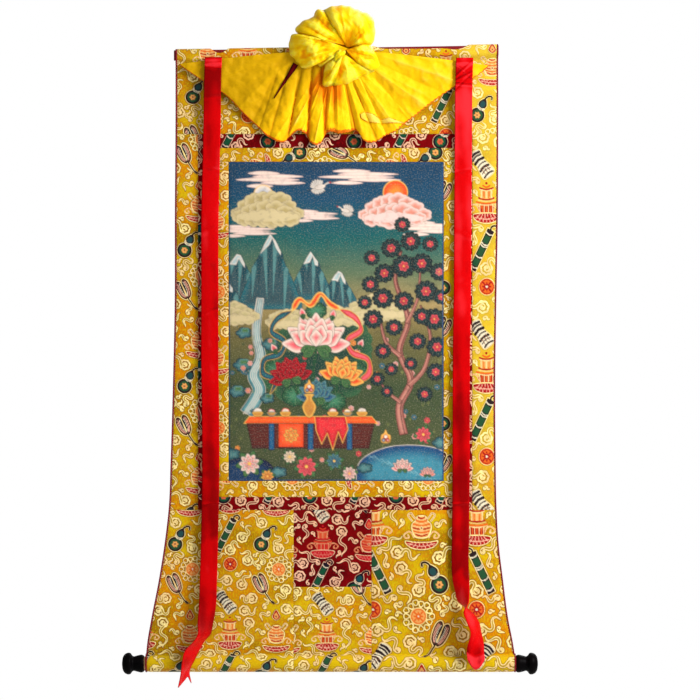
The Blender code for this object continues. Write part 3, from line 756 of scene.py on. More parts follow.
def bands(colour, half_width, *rows):
    """Bowed bands one below the other, for each row its place and half its length."""
    return [
        (curve([(-half, y - 1.3), (-half * 0.5, y), (0, y + 0.5), (half * 0.5, y), (half, y - 1.3)], steps=3),
         colour, half_width)
        for y, half in rows
    ]


def scrolls(y, inner, outer):
    """A pale scroll on each side."""
    middle, parts = (inner + outer) / 2, []
    path = [(inner, y + 2.5), (inner + 3, y - 2.6), (middle + 1, y - 4), (outer, y), (outer - 2.5, y + 3.4),
            (middle, y + 2.6), (middle + 1.2, y - 0.4)]
    for side in (-1, 1):
        loop = curve(np.array(path) * (side, 1), steps=5)
        parts += [(loop, SAND, 0.95), (loop, ORANGE, 0.2)]
    return parts


def vase():
    """A vase with horns between a flame jewel and a lotus seat."""
    body = curve(both_sides([(4.5, -13), (6, -9), (11.5, -3.5), (10.5, 5), (6.0, 11)]), True)
    parts = [*flame_jewel(-28), *scrolls(8.5, 9, 21), *outlined(body, PEACH, 0.8)]
    for side in (-1, 1):
        horn = np.array([(5.5, -9), (9.5, -12.5), (12.5, -16.5), (16, -14), (11.5, -8)])
        horn = curve(horn * (side, 1))
        parts += [(horn, SAND, 1.2), (horn, RUST, 0.25)]
    parts += bands(CRIMSON, 0.85, (-11, 4.0))
    parts += bands(ORANGE, 0.85, (-7.2, 6.2), (-3.0, 9.8))
    parts += bands(CRIMSON, 0.85, (1.2, 10.2))
    parts += bands(ORANGE, 0.85, (5.0, 9.4))
    parts += bands(CRIMSON, 0.85, (8.8, 6.6))
    parts += bands(SAND, 0.3, (-9.2, 5.0), (-5.2, 8.2), (-0.9, 10.2), (3.1, 9.8), (6.9, 8.0))
    return [*parts, (ring(0, 0.4, 2.3), SAND), (ring(0, 0.4, 1.2), RUST), *lotus_seat(18.6, 19.5, -0.7)]


def pagoda():
    """A small pagoda with scrolls at its foot on a lotus seat."""
    parts = [*scrolls(7.0, 9, 22), (ring(0, -21.5, 1.5), CRIMSON), *bands(ORANGE, 1.0, (-17.5, 4.2))]
    parts += [*bands(CRIMSON, 1.0, (-14.8, 8.4), (-3.2, 9.4)), *bands(ORANGE, 1.0, (1.4, 12.4))]
    for y, half, tall, posts, wall in ((-8.8, 7.6, 4.6, 5, PEACH), (7.6, 9.6, 4.8, 7, CRIMSON)):
        parts.append((both_sides([(half, y - tall), (half * 0.94, y + tall)]), wall))
        for k, share in enumerate(np.linspace(-0.86, 0.86, posts)):
            post = [(share * half, y - tall + 1.0), (share * half * 0.95, y + tall - 0.6)]
            parts.append((post, (SAND, ORANGE)[k % 2], 0.62))
    parts += bands(SAND, 0.45, (-13.0, 8.8), (-1.0, 11.0), (3.4, 13.2))
    return [*parts, *lotus_seat(18.4, 17.0, 3.6)]


# %% [markdown]
# Clouds fill the ground between the emblems. A cloud is a pale ribbon with a dark line along its
# middle: it winds out of a curl, snakes away and thins to a point. The large ones have a scalloped
# rim round the curl. A designer would fit them in by eye; here many are tried, the large ones first,
# and one is kept wherever its whole outline still has bare ground round it.

# %% The clouds and one whole repeat
CLOUD_SIZES = (
    # tries, curl's radius, tail's length from and to, tail's half width, rim's radius (0 is none)
    (400, 3.2, 26, 44, 2.1, 7.4), (700, 3, 24, 42, 2.1, 0), (700, 2.6, 14, 26, 1.9, 0),
    (900, 2, 6, 14, 1.6, 0),
)
CLOUD_ROOM = 0.5        # bare ground round a cloud


def cloud_path(radius, length, swing, waves, bend):
    """A cloud's middle line from inside its curl to its tip: its heading turns 420 degrees through
    the curl, ever more slowly, and then swings from side to side on a sine. Its places are the sum of
    steps along the heading. Also gives which share of it is curl."""
    wound = 2 * math.pi * radius * 0.8
    steps = whole_steps(wound + length, 0.8, 1)
    run = np.linspace(0, wound + length, steps)
    in_curl = np.clip(run / wound, 0, 1)
    sway = np.sin(np.clip((run - wound) / length, 0, 1) * waves * 2 * math.pi)
    heading = np.radians(bend * (-420 * (1 - in_curl) ** 1.35 + swing * sway))
    step = np.stack([np.cos(heading), np.sin(heading)], 1) * (run[1] - run[0])
    path = np.cumsum(step, 0)
    return path - path[np.searchsorted(run, wound)], wound / (wound + length)


def draw_cloud(path, curl, half, rim):
    """Draws a cloud: the ribbon swells past the curl and thins to its tip."""
    share = np.linspace(0, 1, 12)
    width = half * np.where(share < curl, 0.66, 1.0) * np.clip((1.06 - share) * 2.6, 0.12, 1.0) ** 0.8
    outline = ribbon_path(path, width)
    place, x, y = window(design, outline, 2.0)
    design["pale"][place] = np.maximum(design["pale"][place], patch_distance(outline, x, y))
    first = int(len(path) * curl)
    line(design, "brown", path[first : int(len(path) * 0.8)], 0.45)
    if rim:
        centre = path[: first + 1].mean(0)
        outer = placed(ring(0, 0, rim, rim * 0.94, lobes=7, depth=0.16), centre, 20.0)
        inner = placed(ring(0, 0, rim * 0.7, rim * 0.66, lobes=7, depth=0.1), centre, 20.0)
        line(design, "pale", closed(outer), 1.15)
        line(design, "brown", inner, 0.34)


def is_bare(path):
    """True where every place of a path lies on bare ground."""
    rows, columns = design["figure"].shape
    at = np.round(path / CHART_STEP).astype(int)
    at = (at[:, 1] % rows, at[:, 0] % columns)
    return bool((np.maximum(design["figure"][at], design["pale"][at]) < -CLOUD_ROOM).all())


def fill_with_clouds(seed):
    """Tries clouds at random places and headings, large ones first, and draws those that fit."""
    chance, kept = np.random.default_rng(seed), 0
    for tries, radius, short, long, half, rim in CLOUD_SIZES:
        for _ in range(tries):
            spot, degrees = chance.random(2) * REPEAT, chance.random() * 360
            length, swing = short + chance.random() * (long - short), 48 + chance.random() * 44
            waves, bend = length / 34 + chance.random() * 0.5, chance.choice((-1, 1))
            path, curl = cloud_path(radius, length, swing, waves, bend)
            path = placed(path, spot, degrees)
            room = ribbon_path(path, (half, half * 1.1, half, 0.4))
            circle = ring(*path[: int(len(path) * curl) + 1].mean(0), (rim or radius) + 1.0)
            if is_bare(room) and is_bare(circle) and is_bare(path):
                draw_cloud(path, curl, half, rim)
                kept += 1
    return kept


def wreath(x, y):
    """Small cloud heads in a ring round a medallion."""
    for k in range(14):
        spot = placed(np.array([[14.6 + 1.6 * (k % 2), 0.0]]), (x, y), k * 360 / 14)[0]
        head = placed(ring(0, 0, 3.5, 3.2, lobes=3, depth=0.22, steps=24), spot, k * 360 / 14)
        line(design, "pale", closed(head), 0.72)
        line(design, "brown", placed(ring(0, 0, 1.5, start=40, end=300, steps=12), spot, k * 360 / 14), 0.3)


design = new_chart(*REPEAT, CHART_STEP)
wreath(40.6, 43.6)
emblem(medallion(PEACH, ORANGE), (40.6, 43.6))
emblem(medallion(ORANGE, CRIMSON), (95.0, 36.0))
emblem(gourd(), (19.5, 0.0), 28.0)
emblem(flute(), (89.0, -7.0), 27.0)
emblem(palm_fan(), (15.6, 66.0), -24.0, 0.94)
emblem(clappers(), (88.0, 90.0), -38.0)
emblem(vase(), (37.0, 138.0))
emblem(pagoda(), (94.5, 134.0))
clouds = fill_with_clouds(4)
print("one repeat has", clouds, "clouds and is", round(100 * (design["pale"] > 0).mean()), "% pale line,",
      round(100 * (design["figure"] > 0).mean()), "% figure")

# %% [markdown]
# ## Gold and maroon brocade
# Brocade is a satin ground with the figures floated over it in other silks. The ground wanders from
# yellow through orange to olive as the threads catch the light, so its colour is a cloudy blend of
# three. The drawn distances become masks with soft edges one thread wide, and they lift the figures
# a little too. Three marks are painted light: a painted shade just outside every pale line, a painted
# highlight along the top of the sleeve round the roller, and the mount's upper right edge painted
# paler. The reverse shows the floats as dull stripes. Maroon brocade is the same weave with another
# warp, so one function makes both.

# %% Brocade finish
THREAD = 0.00042        # metres between threads
SUNK_RED, PALE_BLUSH = tone(196, 26, 38), tone(244, 186, 132)
ROLL_TOP_HIGHLIGHT = ((-0.861, -0.869), (-0.888, -0.880))     # heights in metres: the yellower band there
SUNLIT_PART = ((0.160, 0.200), (-0.70, -0.52))           # x and heights in metres: the right edge


def elsewhere(tree, place):
    """The same places, moved far away, so that a noise there has nothing to do with one here."""
    return node(tree, "Mapping", {"Vector": place, "Location": (7.3, 2.1, 5.7)}).outputs[0]


def brocade_finish(name, ground, pale, brown_and_shade, sunlit_edge, reverse, sunk):
    """A brocade: ground is four colours, pale the line silk, the next the dark line silk and the painted
    shade round the pale lines, the next the painted light that pales its upper right edge, and sunk is how
    far the warm figures turn a plain red."""
    material, tree, shader = new_finish(name, Specular_IOR_Level=0.3, Sheen_Weight=0.12, Sheen_Roughness=0.4)
    shader.inputs["Specular Tint"].default_value = (*ground[1], 1)
    shader.inputs["Sheen Tint"].default_value = (*pale, 1)
    place = node(tree, "TexCoord").outputs["Object"]
    cloth = node(tree, "UVMap", uv_map=CLOTH_MAP).outputs[0]
    wander = cloudy(tree, place, 19.0, 1.5, (1.0, 1.0, 1.5))
    drift = cloudy(tree, place, 12.0, 1.0, (0.8, 1.0, 1.5))
    warm = cloudy(tree, elsewhere(tree, place), 14.0, 1.5, (1.0, 1.0, 1.4))
    grain = cloudy(tree, cloth, 900.0, 2.0, (1.0, 0.28, 1.0))
    fleck = cloudy(tree, cloth, 430.0, 2.0, (1.0, 0.6, 1.0))
    base = coats(
        tree, ground[1], (wander, 0.46, 0.62, 0, 1, ground[2]), (drift, 0.52, 0.34, 0, 1, ground[0]),
        (warm, 0.50, 0.64, 0, 0.8, ground[3]), (grain, 0.30, 0.75, 0, 0.24, brown_and_shade),
        (fleck, 0.50, 0.62, 0, 0.55, ground[2]), (fleck, 0.50, 0.38, 0, 0.45, ground[3]),
    )
    spot = node(tree, "SeparateXYZ", {0: place})
    height = spot.outputs["Z"]
    # painted highlight: a yellower band along the upper front of the sleeve round the roller
    roll = maths(tree, "MULTIPLY", *(ramp(tree, height, *limits) for limits in ROLL_TOP_HIGHLIGHT))
    base = blend(tree, maths(tree, "MULTIPLY", roll, 0.75), base, ground[2])
    brown, figures, lines = (mask(tree, field) for field in ("brown", "figure", "pale"))
    base = blend(tree, maths(tree, "MULTIPLY", brown, 0.72), base, brown_and_shade)
    depth = stored(tree, "pale").outputs["Fac"]
    # painted shade: a dark band just outside every pale line, as if cast by the raised silk
    base = coats(tree, base, (depth, -1.2, -0.1, 0, 0.78, brown_and_shade))
    # painted light: the upper right edge of the mount is painted paler, as if lit from the right
    edge, low = ramp(tree, spot.outputs["X"], *SUNLIT_PART[0]), ramp(tree, height, *SUNLIT_PART[1])
    base = blend(tree, maths(tree, "MULTIPLY", maths(tree, "MULTIPLY", edge, low), 0.46), base, sunlit_edge)
    filling = blend(tree, 0.35, base, ground[2])
    colour = stored(tree, "figure_colour").outputs["Color"]
    split = node(tree, "SeparateColor", {0: colour})
    redness = maths(tree, "SUBTRACT", split.outputs[0], split.outputs[1])
    silks = coats(tree, colour, (redness, 0.0, 0.30, 0, sunk, SUNK_RED))
    base = blend(tree, figures, base, silks)
    silk = cloudy(tree, cloth, 120.0, 2.0)
    light = tuple(min(1.0, 1.12 * c) for c in pale)
    strand = coats(
        tree, tuple(0.80 * c for c in pale), (silk, 0.35, 0.65, 0, 1, light),
        (drift, 0.40, 0.62, 0, 0.40, PALE_BLUSH), (depth, 0.9, 1.3, 0, 0.85, filling),
    )
    base = blend(tree, lines, base, strand)
    weave = woven(tree, cloth, THREAD * 2.4, THREAD * 2.0)
    base = coats(tree, base, (weave, 0.0, 0.7, 0.14, 0, tuple(0.45 * c for c in brown_and_shade)))
    floats = threads(tree, cloth, THREAD * 4.0, "X")
    under = blend(tree, floats, reverse, tuple(0.6 * c for c in reverse))
    under = blend(tree, maths(tree, "MULTIPLY", figures, 0.5), under, pale)
    base = blend(tree, stored(tree, "reverse").outputs["Fac"], base, under)
    rough = maths(tree, "MULTIPLY_ADD", figures, 0.12, maths(tree, "MULTIPLY_ADD", lines, -0.06, 0.44))
    raised = maths(tree, "MULTIPLY_ADD", weave, 0.35, maths(tree, "MULTIPLY_ADD", figures, 0.5, lines))
    wire(tree, shader, raised, 0.00022, 0.8, Base_Color=base, Roughness=rough)
    return material


BROCADES = {
    "gold_brocade": brocade_finish(
        "gold_brocade", (tone(158, 116, 10), tone(200, 146, 18), tone(218, 184, 16), tone(220, 132, 10)),
        tone(253, 229, 150), tone(104, 58, 10), tone(234, 208, 66), tone(190, 140, 60), 0.0,
    ),
    "maroon_brocade": brocade_finish(
        "maroon_brocade", (tone(76, 4, 8), tone(116, 8, 12), tone(136, 9, 14), tone(124, 4, 9)),
        tone(238, 182, 148), tone(34, 2, 6), tone(116, 8, 12), tone(110, 40, 34), 0.72,
    ),
}
print("two brocades made")

# %% [markdown]
# ## The panels
# Each panel is cut from the brocade at its own place of the repeat, so its row says where the gourd of
# the repeat comes. The grid is close enough for the drawn distances, and it stays under the limit of
# faces for a piece. At the seams the cloth is drawn in a little and puckers between the stitches.

# %% Brocade panels
PANEL_GRID = 1.15
GOURD = np.array([19.5, 0.0])       # where the gourd lies on the chart
SEAM_DRAW, SEAM_REACH, PUCKER_PITCH, PUCKER_DEPTH = 0.55, 3.2, 11.0, 0.16
FREE_END, CROWN_RUN = 12, 22        # how far the crown's and the sleeve's ends stay smooth
CROWN_EDGE = (
    # x, how far the top panel's edge stops short of the crown, which leaves the batten's maroon showing
    (-240, 0), (-182, 0), (-175, 6.4), (-160, 6.4), (-153, 0), (50, 0), (64, 5.4), (90, 6.6), (150, 7),
    (184, 6.2), (194, 0), (240, 0),
)


def on_chart(lay, x, depth):
    """Where a panel's points fall on the chart, by its lay: where the gourd of the repeat comes, x and
    height (a pair each if the right half is cut at another place), the size across, negative if
    mirrored, and down, and whether the cloth is turned."""
    gourd_x, gourd_z = (np.where(x < 0, *v) if isinstance(v, tuple) else v for v in lay[:2])
    wide, long, turned = (*lay[2:], *(1, 1, False)[len(lay) - 2 :])
    across, down = (x - gourd_x) / wide, (depth + gourd_z) / long
    if turned:
        across, down = down, across
    return across + GOURD[0], down + GOURD[1]


def read_chart(chart, field, across, down):
    """A chart's field between its places, blended from the four nearest."""
    table = chart[field]
    rows, columns = table.shape[:2]
    u, v = across / chart["step"], down / chart["step"]
    i, j = np.floor(v).astype(int), np.floor(u).astype(int)
    a, b = v - i, u - j
    if table.ndim == 3:
        a, b = a[..., None], b[..., None]
    i0, i1, j0, j1 = i % rows, (i + 1) % rows, j % columns, (j + 1) % columns
    upper = table[i0, j0] * (1 - b) + table[i0, j1] * b
    lower = table[i1, j0] * (1 - b) + table[i1, j1] * b
    return upper * (1 - a) + lower * a


def panel_grid(start, end, left, right, spacing):
    """A panel's points between two places along the section. left and right are numbers, or the
    outer edges, which the panel follows inside the piping. Seams are drawn in and puckered."""
    rows = whole_steps(end - start, spacing)
    along = np.linspace(start, end, rows)
    height = edge_heights(along)
    inside = 2 * PIPING_RADIUS + SEAM_GAP
    low = left(height) + inside if callable(left) else np.full(rows, float(left))
    high = right(height) - inside if callable(right) else np.full(rows, float(right))
    columns = whole_steps((high - low).mean(), spacing)
    x = low[:, None] + (high - low)[:, None] * np.linspace(0, 1, columns)[None, :]
    along = np.repeat(along[:, None], columns, 1)
    if start == 0:
        along = along + np.maximum(smooth_table(CROWN_EDGE, x), 0) * smooth_step(CROWN_RUN, 0, along)
    middle = on_mount(along, x)
    front = middle + surface_normals(middle) * CLOTH / 2
    to_side = np.minimum(x - low[:, None], high[:, None] - x)
    to_end = np.minimum(along - start, end - along)
    drawn = np.exp(-((to_side / SEAM_REACH) ** 2)) + np.exp(-((to_end / SEAM_REACH) ** 2))
    pucker = np.sin(along * 2 * math.pi / PUCKER_PITCH) * np.exp(-to_side / (3 * SEAM_REACH))
    pucker += np.sin(x * 2 * math.pi / PUCKER_PITCH + 1.0) * np.exp(-to_end / (3 * SEAM_REACH))
    sewn = smooth_step(0, FREE_END, along) * smooth_step(SECTION_END, SECTION_END - FREE_END, along)
    sink = (SEAM_DRAW * np.minimum(drawn, 1.0) - PUCKER_DEPTH * pucker) * sewn
    return front - surface_normals(middle) * sink[..., None], along, x


def dress_panel(name, start, end, left, right, lay, finish, slot):
    """Makes one brocade panel on the mount, with the chart read at every point."""
    front, along, x = panel_grid(start, end, left, right, PANEL_GRID)
    across, down = on_chart(lay, x, along - PLANE_START - PINCH)
    marks = {field: read_chart(design, field, across, down) for field in ("pale", "brown", "figure")}
    marks["figure_colour"] = read_chart(design, "colour", across, down)
    piece = make_sheet(name + "_cloth", front, CLOTH, across, down, marks, reverse=True)
    finish_piece(piece, finish, slot, name)
    declare_sheet(piece, ((x[:, -1] - x[:, 0]).mean(), end - start))


PANELS = (
    # panel, height of its top and bottom (None is the crown or the sleeve's end), left, right, lay
    ("top_panel", None, TOP_SEAM, outer_left, outer_right, ((-202.0, 207.0), (-54.6, -82.0))),
    ("side_panel_left", TOP_SEAM, SKIRT_SEAM, outer_left, MAROON_LEFT, (-214.0, -276.0)),
    ("side_panel_right", TOP_SEAM, SKIRT_SEAM, MAROON_RIGHT, outer_right, (130.0, -291.0, 1.15, 1.25)),
    ("maroon_strip_top", TOP_SEAM, GOLD_TOP, MAROON_LEFT, MAROON_RIGHT, (-94.1, -120.0)),
    ("maroon_strip_bottom", GOLD_BOTTOM, SKIRT_SEAM, MAROON_LEFT, MAROON_RIGHT, (-158.0, -630.0)),
    ("maroon_strip_left", GOLD_TOP, GOLD_BOTTOM, MAROON_LEFT, GOLD_LEFT, (-200.0, -260.0)),
    ("maroon_strip_right", GOLD_TOP, GOLD_BOTTOM, GOLD_RIGHT, MAROON_RIGHT, (170.0, -310.0, -1)),
    ("gold_strip_top", GOLD_TOP, PICTURE_TOP, GOLD_LEFT, GOLD_RIGHT, (-60.0, -147.0, 1, 1, True)),
    ("gold_strip_bottom", PICTURE_BOTTOM, GOLD_BOTTOM, GOLD_LEFT, GOLD_RIGHT, (-215.0, -590.0, -1, 1, True)),
    ("gold_strip_left", PICTURE_TOP, PICTURE_BOTTOM, GOLD_LEFT, PICTURE_LEFT, (-190.0, -300.0)),
    ("gold_strip_right", PICTURE_TOP, PICTURE_BOTTOM, PICTURE_RIGHT, GOLD_RIGHT, (150.0, -330.0, -1)),
    ("door_panel", SKIRT_SEAM, DOOR_BOTTOM, DOOR_LEFT, DOOR_RIGHT, (-94.1, -568.0)),
    ("skirt_left", SKIRT_SEAM, None, outer_left, DOOR_LEFT, (-103.5, -698.9)),
    ("skirt_centre", DOOR_BOTTOM, None, DOOR_LEFT, DOOR_RIGHT, (-88.2, -701.5)),
    ("skirt_right", SKIRT_SEAM, None, DOOR_RIGHT, outer_right, (143.8, -755.0, -1.2, 1.26)),
)
for name, top, bottom, left, right, lay in PANELS:
    start, end = down_to(top) if top else 0.0, down_to(bottom) if bottom else SECTION_END
    colour = "maroon_brocade" if name.startswith(("maroon", "door")) else "gold_brocade"
    dress_panel(name, start, end, left, right, lay, BROCADES[colour], colour)

# %% [markdown]
# ## The painting
# A thangka's heart is a painted cloth. This one is a plain garden of good wishes, with sun and moon,
# cranes, snow peaks, a waterfall, a blossoming tree, lotuses, an offering table and a pool. An image
# could carry it, but here it is laid on in a painter's order, from the sky forward. Each patch is
# shaded from its edge to its heart, as mineral colours are washed in, and gets a line round it. The
# raster is finer than the mesh that carries it, and its margin lets shapes run over the edge.

# %% The painter's tools
PAINT_STEP, MARGIN = 0.5, 24.0
PICTURE_SIZE = (PICTURE_RIGHT - PICTURE_LEFT, PICTURE_TOP - PICTURE_BOTTOM)
CREAM, MILK, BLUSH_WHITE = tone(214, 204, 160), tone(238, 230, 214), tone(236, 214, 206)
ROSE, SCARLET, RUBY, WINE = tone(236, 112, 122), tone(232, 82, 34), tone(190, 18, 44), tone(84, 34, 36)
GILT, HONEY, OLIVE, MOSS = tone(240, 200, 104), tone(206, 150, 70), tone(150, 158, 96), tone(84, 130, 80)
LEAF, PINE, SEA, SLATE = tone(40, 92, 62), tone(18, 44, 50), tone(44, 118, 128), tone(96, 150, 150)
INDIGO, AZURE, INK_LINE, ROCK = tone(12, 34, 76), tone(10, 78, 128), tone(26, 24, 30), tone(30, 84, 96)

luck = np.random.default_rng(11)
canvas = new_chart(PICTURE_SIZE[0] + 2 * MARGIN, PICTURE_SIZE[1] + 2 * MARGIN, PAINT_STEP)
canvas["gilt"] = np.zeros(canvas["figure"].shape)


def paint(path, colour, heart=None, reach=4.0, half=None, edge=INK_LINE, line_half=0.32):
    """A patch inside a closed path, or a stroke if half is given, with a line round a patch."""
    path = np.asarray(path, float) + MARGIN
    place, x, y = window(canvas, path, (half or 0.0) + 1.5)
    depth = patch_distance(path, x, y) if half is None else half - path_distance(path, x, y)
    cover = np.clip(depth / PAINT_STEP + 0.5, 0, 1)[..., None]
    wash = np.array(colour)
    if heart is not None:
        wash = wash + (np.array(heart) - wash) * smooth_step(0, reach, depth)[..., None]
    canvas["colour"][place] = canvas["colour"][place] * (1 - cover) + wash * cover
    canvas["gilt"][place] *= 1 - cover[..., 0]
    if half is None and edge is not None:
        canvas_line(closed(path) - MARGIN, line_half, edge)


def canvas_line(path, half, colour, gilt=0.0):
    """A brush line, at 85 per cent so that what is under it still shows."""
    path = np.asarray(path, float) + MARGIN
    place, x, y = window(canvas, path, half + 1.5)
    cover = 0.85 * np.clip((half - path_distance(path, x, y)) / PAINT_STEP + 0.5, 0, 1)
    shown = cover[..., None]
    canvas["colour"][place] = canvas["colour"][place] * (1 - shown) + np.array(colour) * shown
    canvas["gilt"][place] = np.maximum(canvas["gilt"][place] * (1 - cover), gilt * cover)


def petal(length, wide, tip=1.0):
    """A petal that points up from its root."""
    side = [(0, 0), (-0.62 * wide, -0.3 * length), (-wide, -0.62 * length), (-0.55 * wide, -0.9 * length)]
    return curve(both_sides([*side, (0, -length * tip)]), True, 4)


def flower(x, y, radius, rings_of, outer, heart, middle=GILT, turn=0.0):
    """A round blossom: rings of petals, the outer ring first, and a middle."""
    for k, count in enumerate(rings_of):
        size = radius * (1 - k / len(rings_of) * 0.86)
        for j in range(count):
            shape = placed(petal(size, size * 2.3 / count), (0, 0), turn + (j + 0.5 * k) * 360 / count)
            paint(shape + (x, y), outer, heart, size * 0.34, line_half=0.22 if radius > 6 else 0.1)
    paint(ring(x, y, radius * 0.17, steps=14), middle, edge=None)


def lotus(x, y, radius, outer, heart, turn=0.0):
    """A lotus from the side: a fan of petals behind, and a smaller fan and two sepals in front."""
    shapes = []
    for size, wide, spread, count in (
        (1.0, 0.25, 84, 7), (0.86, 0.26, 60, 6), (0.66, 0.25, 44, 4), (0.5, 0.2, 0, 1),
    ):
        leans = np.linspace(-spread, spread, count) if count > 1 else [0.0]
        for lean in sorted(leans, key=lambda a: -abs(a)):
            shapes.append((placed(petal(radius * size, radius * wide, 1.08), (0, 0), lean), outer, heart))
    for lean in (-104, 104, -128, 128):
        shapes.append((placed(petal(radius * 0.5, radius * 0.14), (0, 0), lean), MOSS, LEAF))
    for shape, rim, inner in shapes:
        paint(placed(shape, (x, y), turn), rim, inner, radius * 0.2, line_half=0.28)


def leaf_disc(x, y, radius, blossom):
    """A round clump of leaves with a fan of light marks and a blossom in it."""
    rim = ring(x, y, radius, radius * 0.94, lobes=11, depth=0.16, steps=66)
    paint(rim, PINE, tone(30, 66, 72), radius * 0.8, edge=tone(10, 26, 32))
    for k in range(16):
        leaf = placed([(radius * 0.5, 0), (radius * (0.74 + 0.08 * (k % 2)), 0)], (x, y), k * 22.5 + 7)
        canvas_line(leaf, 0.26, tone(70, 116, 112))
    flower(x, y, radius * 0.42, (6, 5), blossom, RUBY, GILT, radius * 9)


def cloud_bank(x, y, width, tall, rim, heart):
    """A bank of scalloped heads, high in the middle, drawn from the back forward."""
    for row in range(3):
        for share in np.linspace(-1, 1, 8 - row):
            size = tall * (0.30 + 0.12 * luck.random()) * (1.15 - 0.35 * abs(share))
            top = y - tall * (1 - share * share) * (0.62 - 0.3 * row) + row * tall * 0.12
            head = ring(
                x + share * width / 2 * (1 - 0.12 * row), top, size * 1.25, size, lobes=6, depth=0.14,
                start=30 * row, end=30 * row + 360,
            )
            paint(head, rim, heart, size * 0.7, edge=tone(150, 140, 110), line_half=0.22)
    foot = [(x - width / 2, y + tall * 0.1), (x, y - tall * 0.1), (x + width / 2, y + tall * 0.1),
            (x + width * 0.3, y + tall * 0.32), (x - width * 0.3, y + tall * 0.32)]
    paint(curve(foot, True), rim, rim, edge=None)


def streak(x, y, length, tall):
    """Pale pointed streaks of cloud, some short and some long, one over the other."""
    for k, (share, shift) in enumerate(((0.5, -0.1), (0.8, 0.12), (1.0, -0.04), (0.7, 0.2), (0.42, -0.16))):
        at, half = x + shift * length, share * length / 2
        middle = y + (k - 2) * tall * 0.42
        lens = [(at - half, middle), (at - half * 0.4, middle - tall * 0.3),
                (at + half * 0.4, middle - tall * 0.26), (at + half, middle), (at, middle + tall * 0.22)]
        paint(curve(lens, True, 4), BLUSH_WHITE, MILK, 3.0, edge=tone(206, 180, 160), line_half=0.14)


def peak(x, foot, wide, tall):
    """A snow peak: a jagged flank, facets of slate and sea green on it, and a white cap."""
    steps = np.linspace(-1, 1, 13)
    rise = (1 - np.abs(steps) ** 1.25) * tall * (1 + 0.10 * (luck.random(13) - 0.5))
    flank = np.stack([x + steps * wide / 2, foot - rise], 1)
    mountain = np.vstack([flank, [(x + wide / 2, foot + 8), (x - wide / 2, foot + 8)]])
    paint(mountain, SEA, tone(60, 96, 104), 12.0)
    for k in range(3, 10):
        low = flank[k] + (luck.random(2) - (0.5, -0.4)) * (10, tall * 0.9)
        facet = [flank[k], flank[k] + (3.5, 5), low, flank[k] + (-4.0, 7)]
        paint(facet, SLATE if k % 2 else ROCK, edge=tone(20, 60, 72), line_half=0.2)
    drips = ((8, 0, 6), (7, 1, 12), (6, 3, 7), (6, -1, 16), (5, 1, 8))
    cap = np.vstack([flank[4:9], *(flank[k] + (dx, dy) for k, dx, dy in drips)])
    paint(cap, MILK, tone(176, 204, 206), 3.0, edge=tone(70, 110, 120), line_half=0.24)


def crane(x, y, size, turn, mirror=False):
    """A flying crane: wings of white feathers, a long neck and trailing legs."""
    at = dict(at=(x, y), turn=turn, size=size, mirror=mirror)
    for legs in (0.5, -0.6):
        leg = curve([(-6, legs), (-14, legs + 1.0), (-19, legs + 1.4)])
        canvas_line(placed(leg, **at), 0.3 * size, INK_LINE)
    for lean in range(-70, 30, 14):
        for side, short in ((-1, 0.86), (1, 0.7)):
            feather = petal(15 - abs(lean + 20) * 0.07, 2.0)
            feather = placed(feather, (-1.5 + lean * 0.03, 0), lean if side < 0 else 180 - lean)
            feather = placed(feather * (1, short), **at)
            paint(feather, MILK, tone(196, 200, 196), 1.6, edge=tone(60, 60, 66), line_half=0.16)
    paint(placed(ring(0, 0, 7.5, 3.2, steps=20), **at), MILK, tone(214, 210, 200), 2.0, line_half=0.2)
    canvas_line(placed(curve([(5, -0.6), (10, -3), (14.5, -3.4)]), **at), 1.0 * size, MILK)
    paint(placed(ring(15, -3.6, 1.7, 1.3, steps=10), **at), RUBY, edge=None)
    canvas_line(placed([(16, -3.4), (19.5, -2.6)], **at), 0.3 * size, INK_LINE)


def scarf(points, half, colour, lining):
    """A silk scarf that floats in curves: it swells and thins as it turns over, with a gilt edge."""
    path = curve(points, steps=12)
    swell = half * (0.45 + 0.55 * np.abs(np.sin(np.linspace(0.4, 3.1 * len(points) / 2, 14))))
    swell[-1] = swell[0] = 0.2
    paint(ribbon_path(path, swell), colour, lining, half * 0.8, edge=GILT, line_half=0.42)


def flame_gems(x, y, size):
    """Three gems in a golden flame."""
    flame = [(0, -15), (3.5, -8), (7.5, -6), (8, 1), (5.5, 6.5), (-5.5, 6.5), (-8, 1), (-7, -6), (-3, -9)]
    paint(placed(curve(flame, True, 5), (x, y), 0, size), GILT, SCARLET, 7 * size, edge=WINE)
    for gx, gy, colour in ((0, -3.4, MILK), (-3.4, 2.2, AZURE), (3.4, 2.2, RUBY)):
        paint(placed(ring(gx, gy, 2.9, steps=16), (x, y), 0, size), colour, MILK, 4 * size, line_half=0.25)


def bowl(x, y, wide, colour, filling):
    """A footed offering bowl and what it is heaped with."""
    paint(ring(x, y - wide * 0.34, wide * 0.42, wide * 0.36, lobes=5, depth=0.1), filling, MILK, 2.5)
    side = both_sides([(wide * 0.5, -wide * 0.3), (wide * 0.3, wide * 0.1)])
    paint(curve(side + (x, y), True, 5), colour, HONEY, 2.5)
    canvas_line([(x - wide * 0.5, y - wide * 0.26), (x + wide * 0.5, y - wide * 0.26)], 0.35, GILT, 1.0)


MOTIFS = (flower, lotus, leaf_disc, cloud_bank, streak, peak, crane, scarf, flame_gems, bowl)
print("the painter can draw", ", ".join(motif.__name__ for motif in MOTIFS))

# %% [markdown]
# Now the composition. Every element is a row: where it stands, how large it is and its colours. The
# painter's random numbers have a fixed seed, so the same garden grows in every run.

# %% The painting's composition
WIDE, TALL = PICTURE_SIZE
GLAZE_DEPTH, GLAZE_TONE = 1.16, (1.16, 1.04, 1.02)


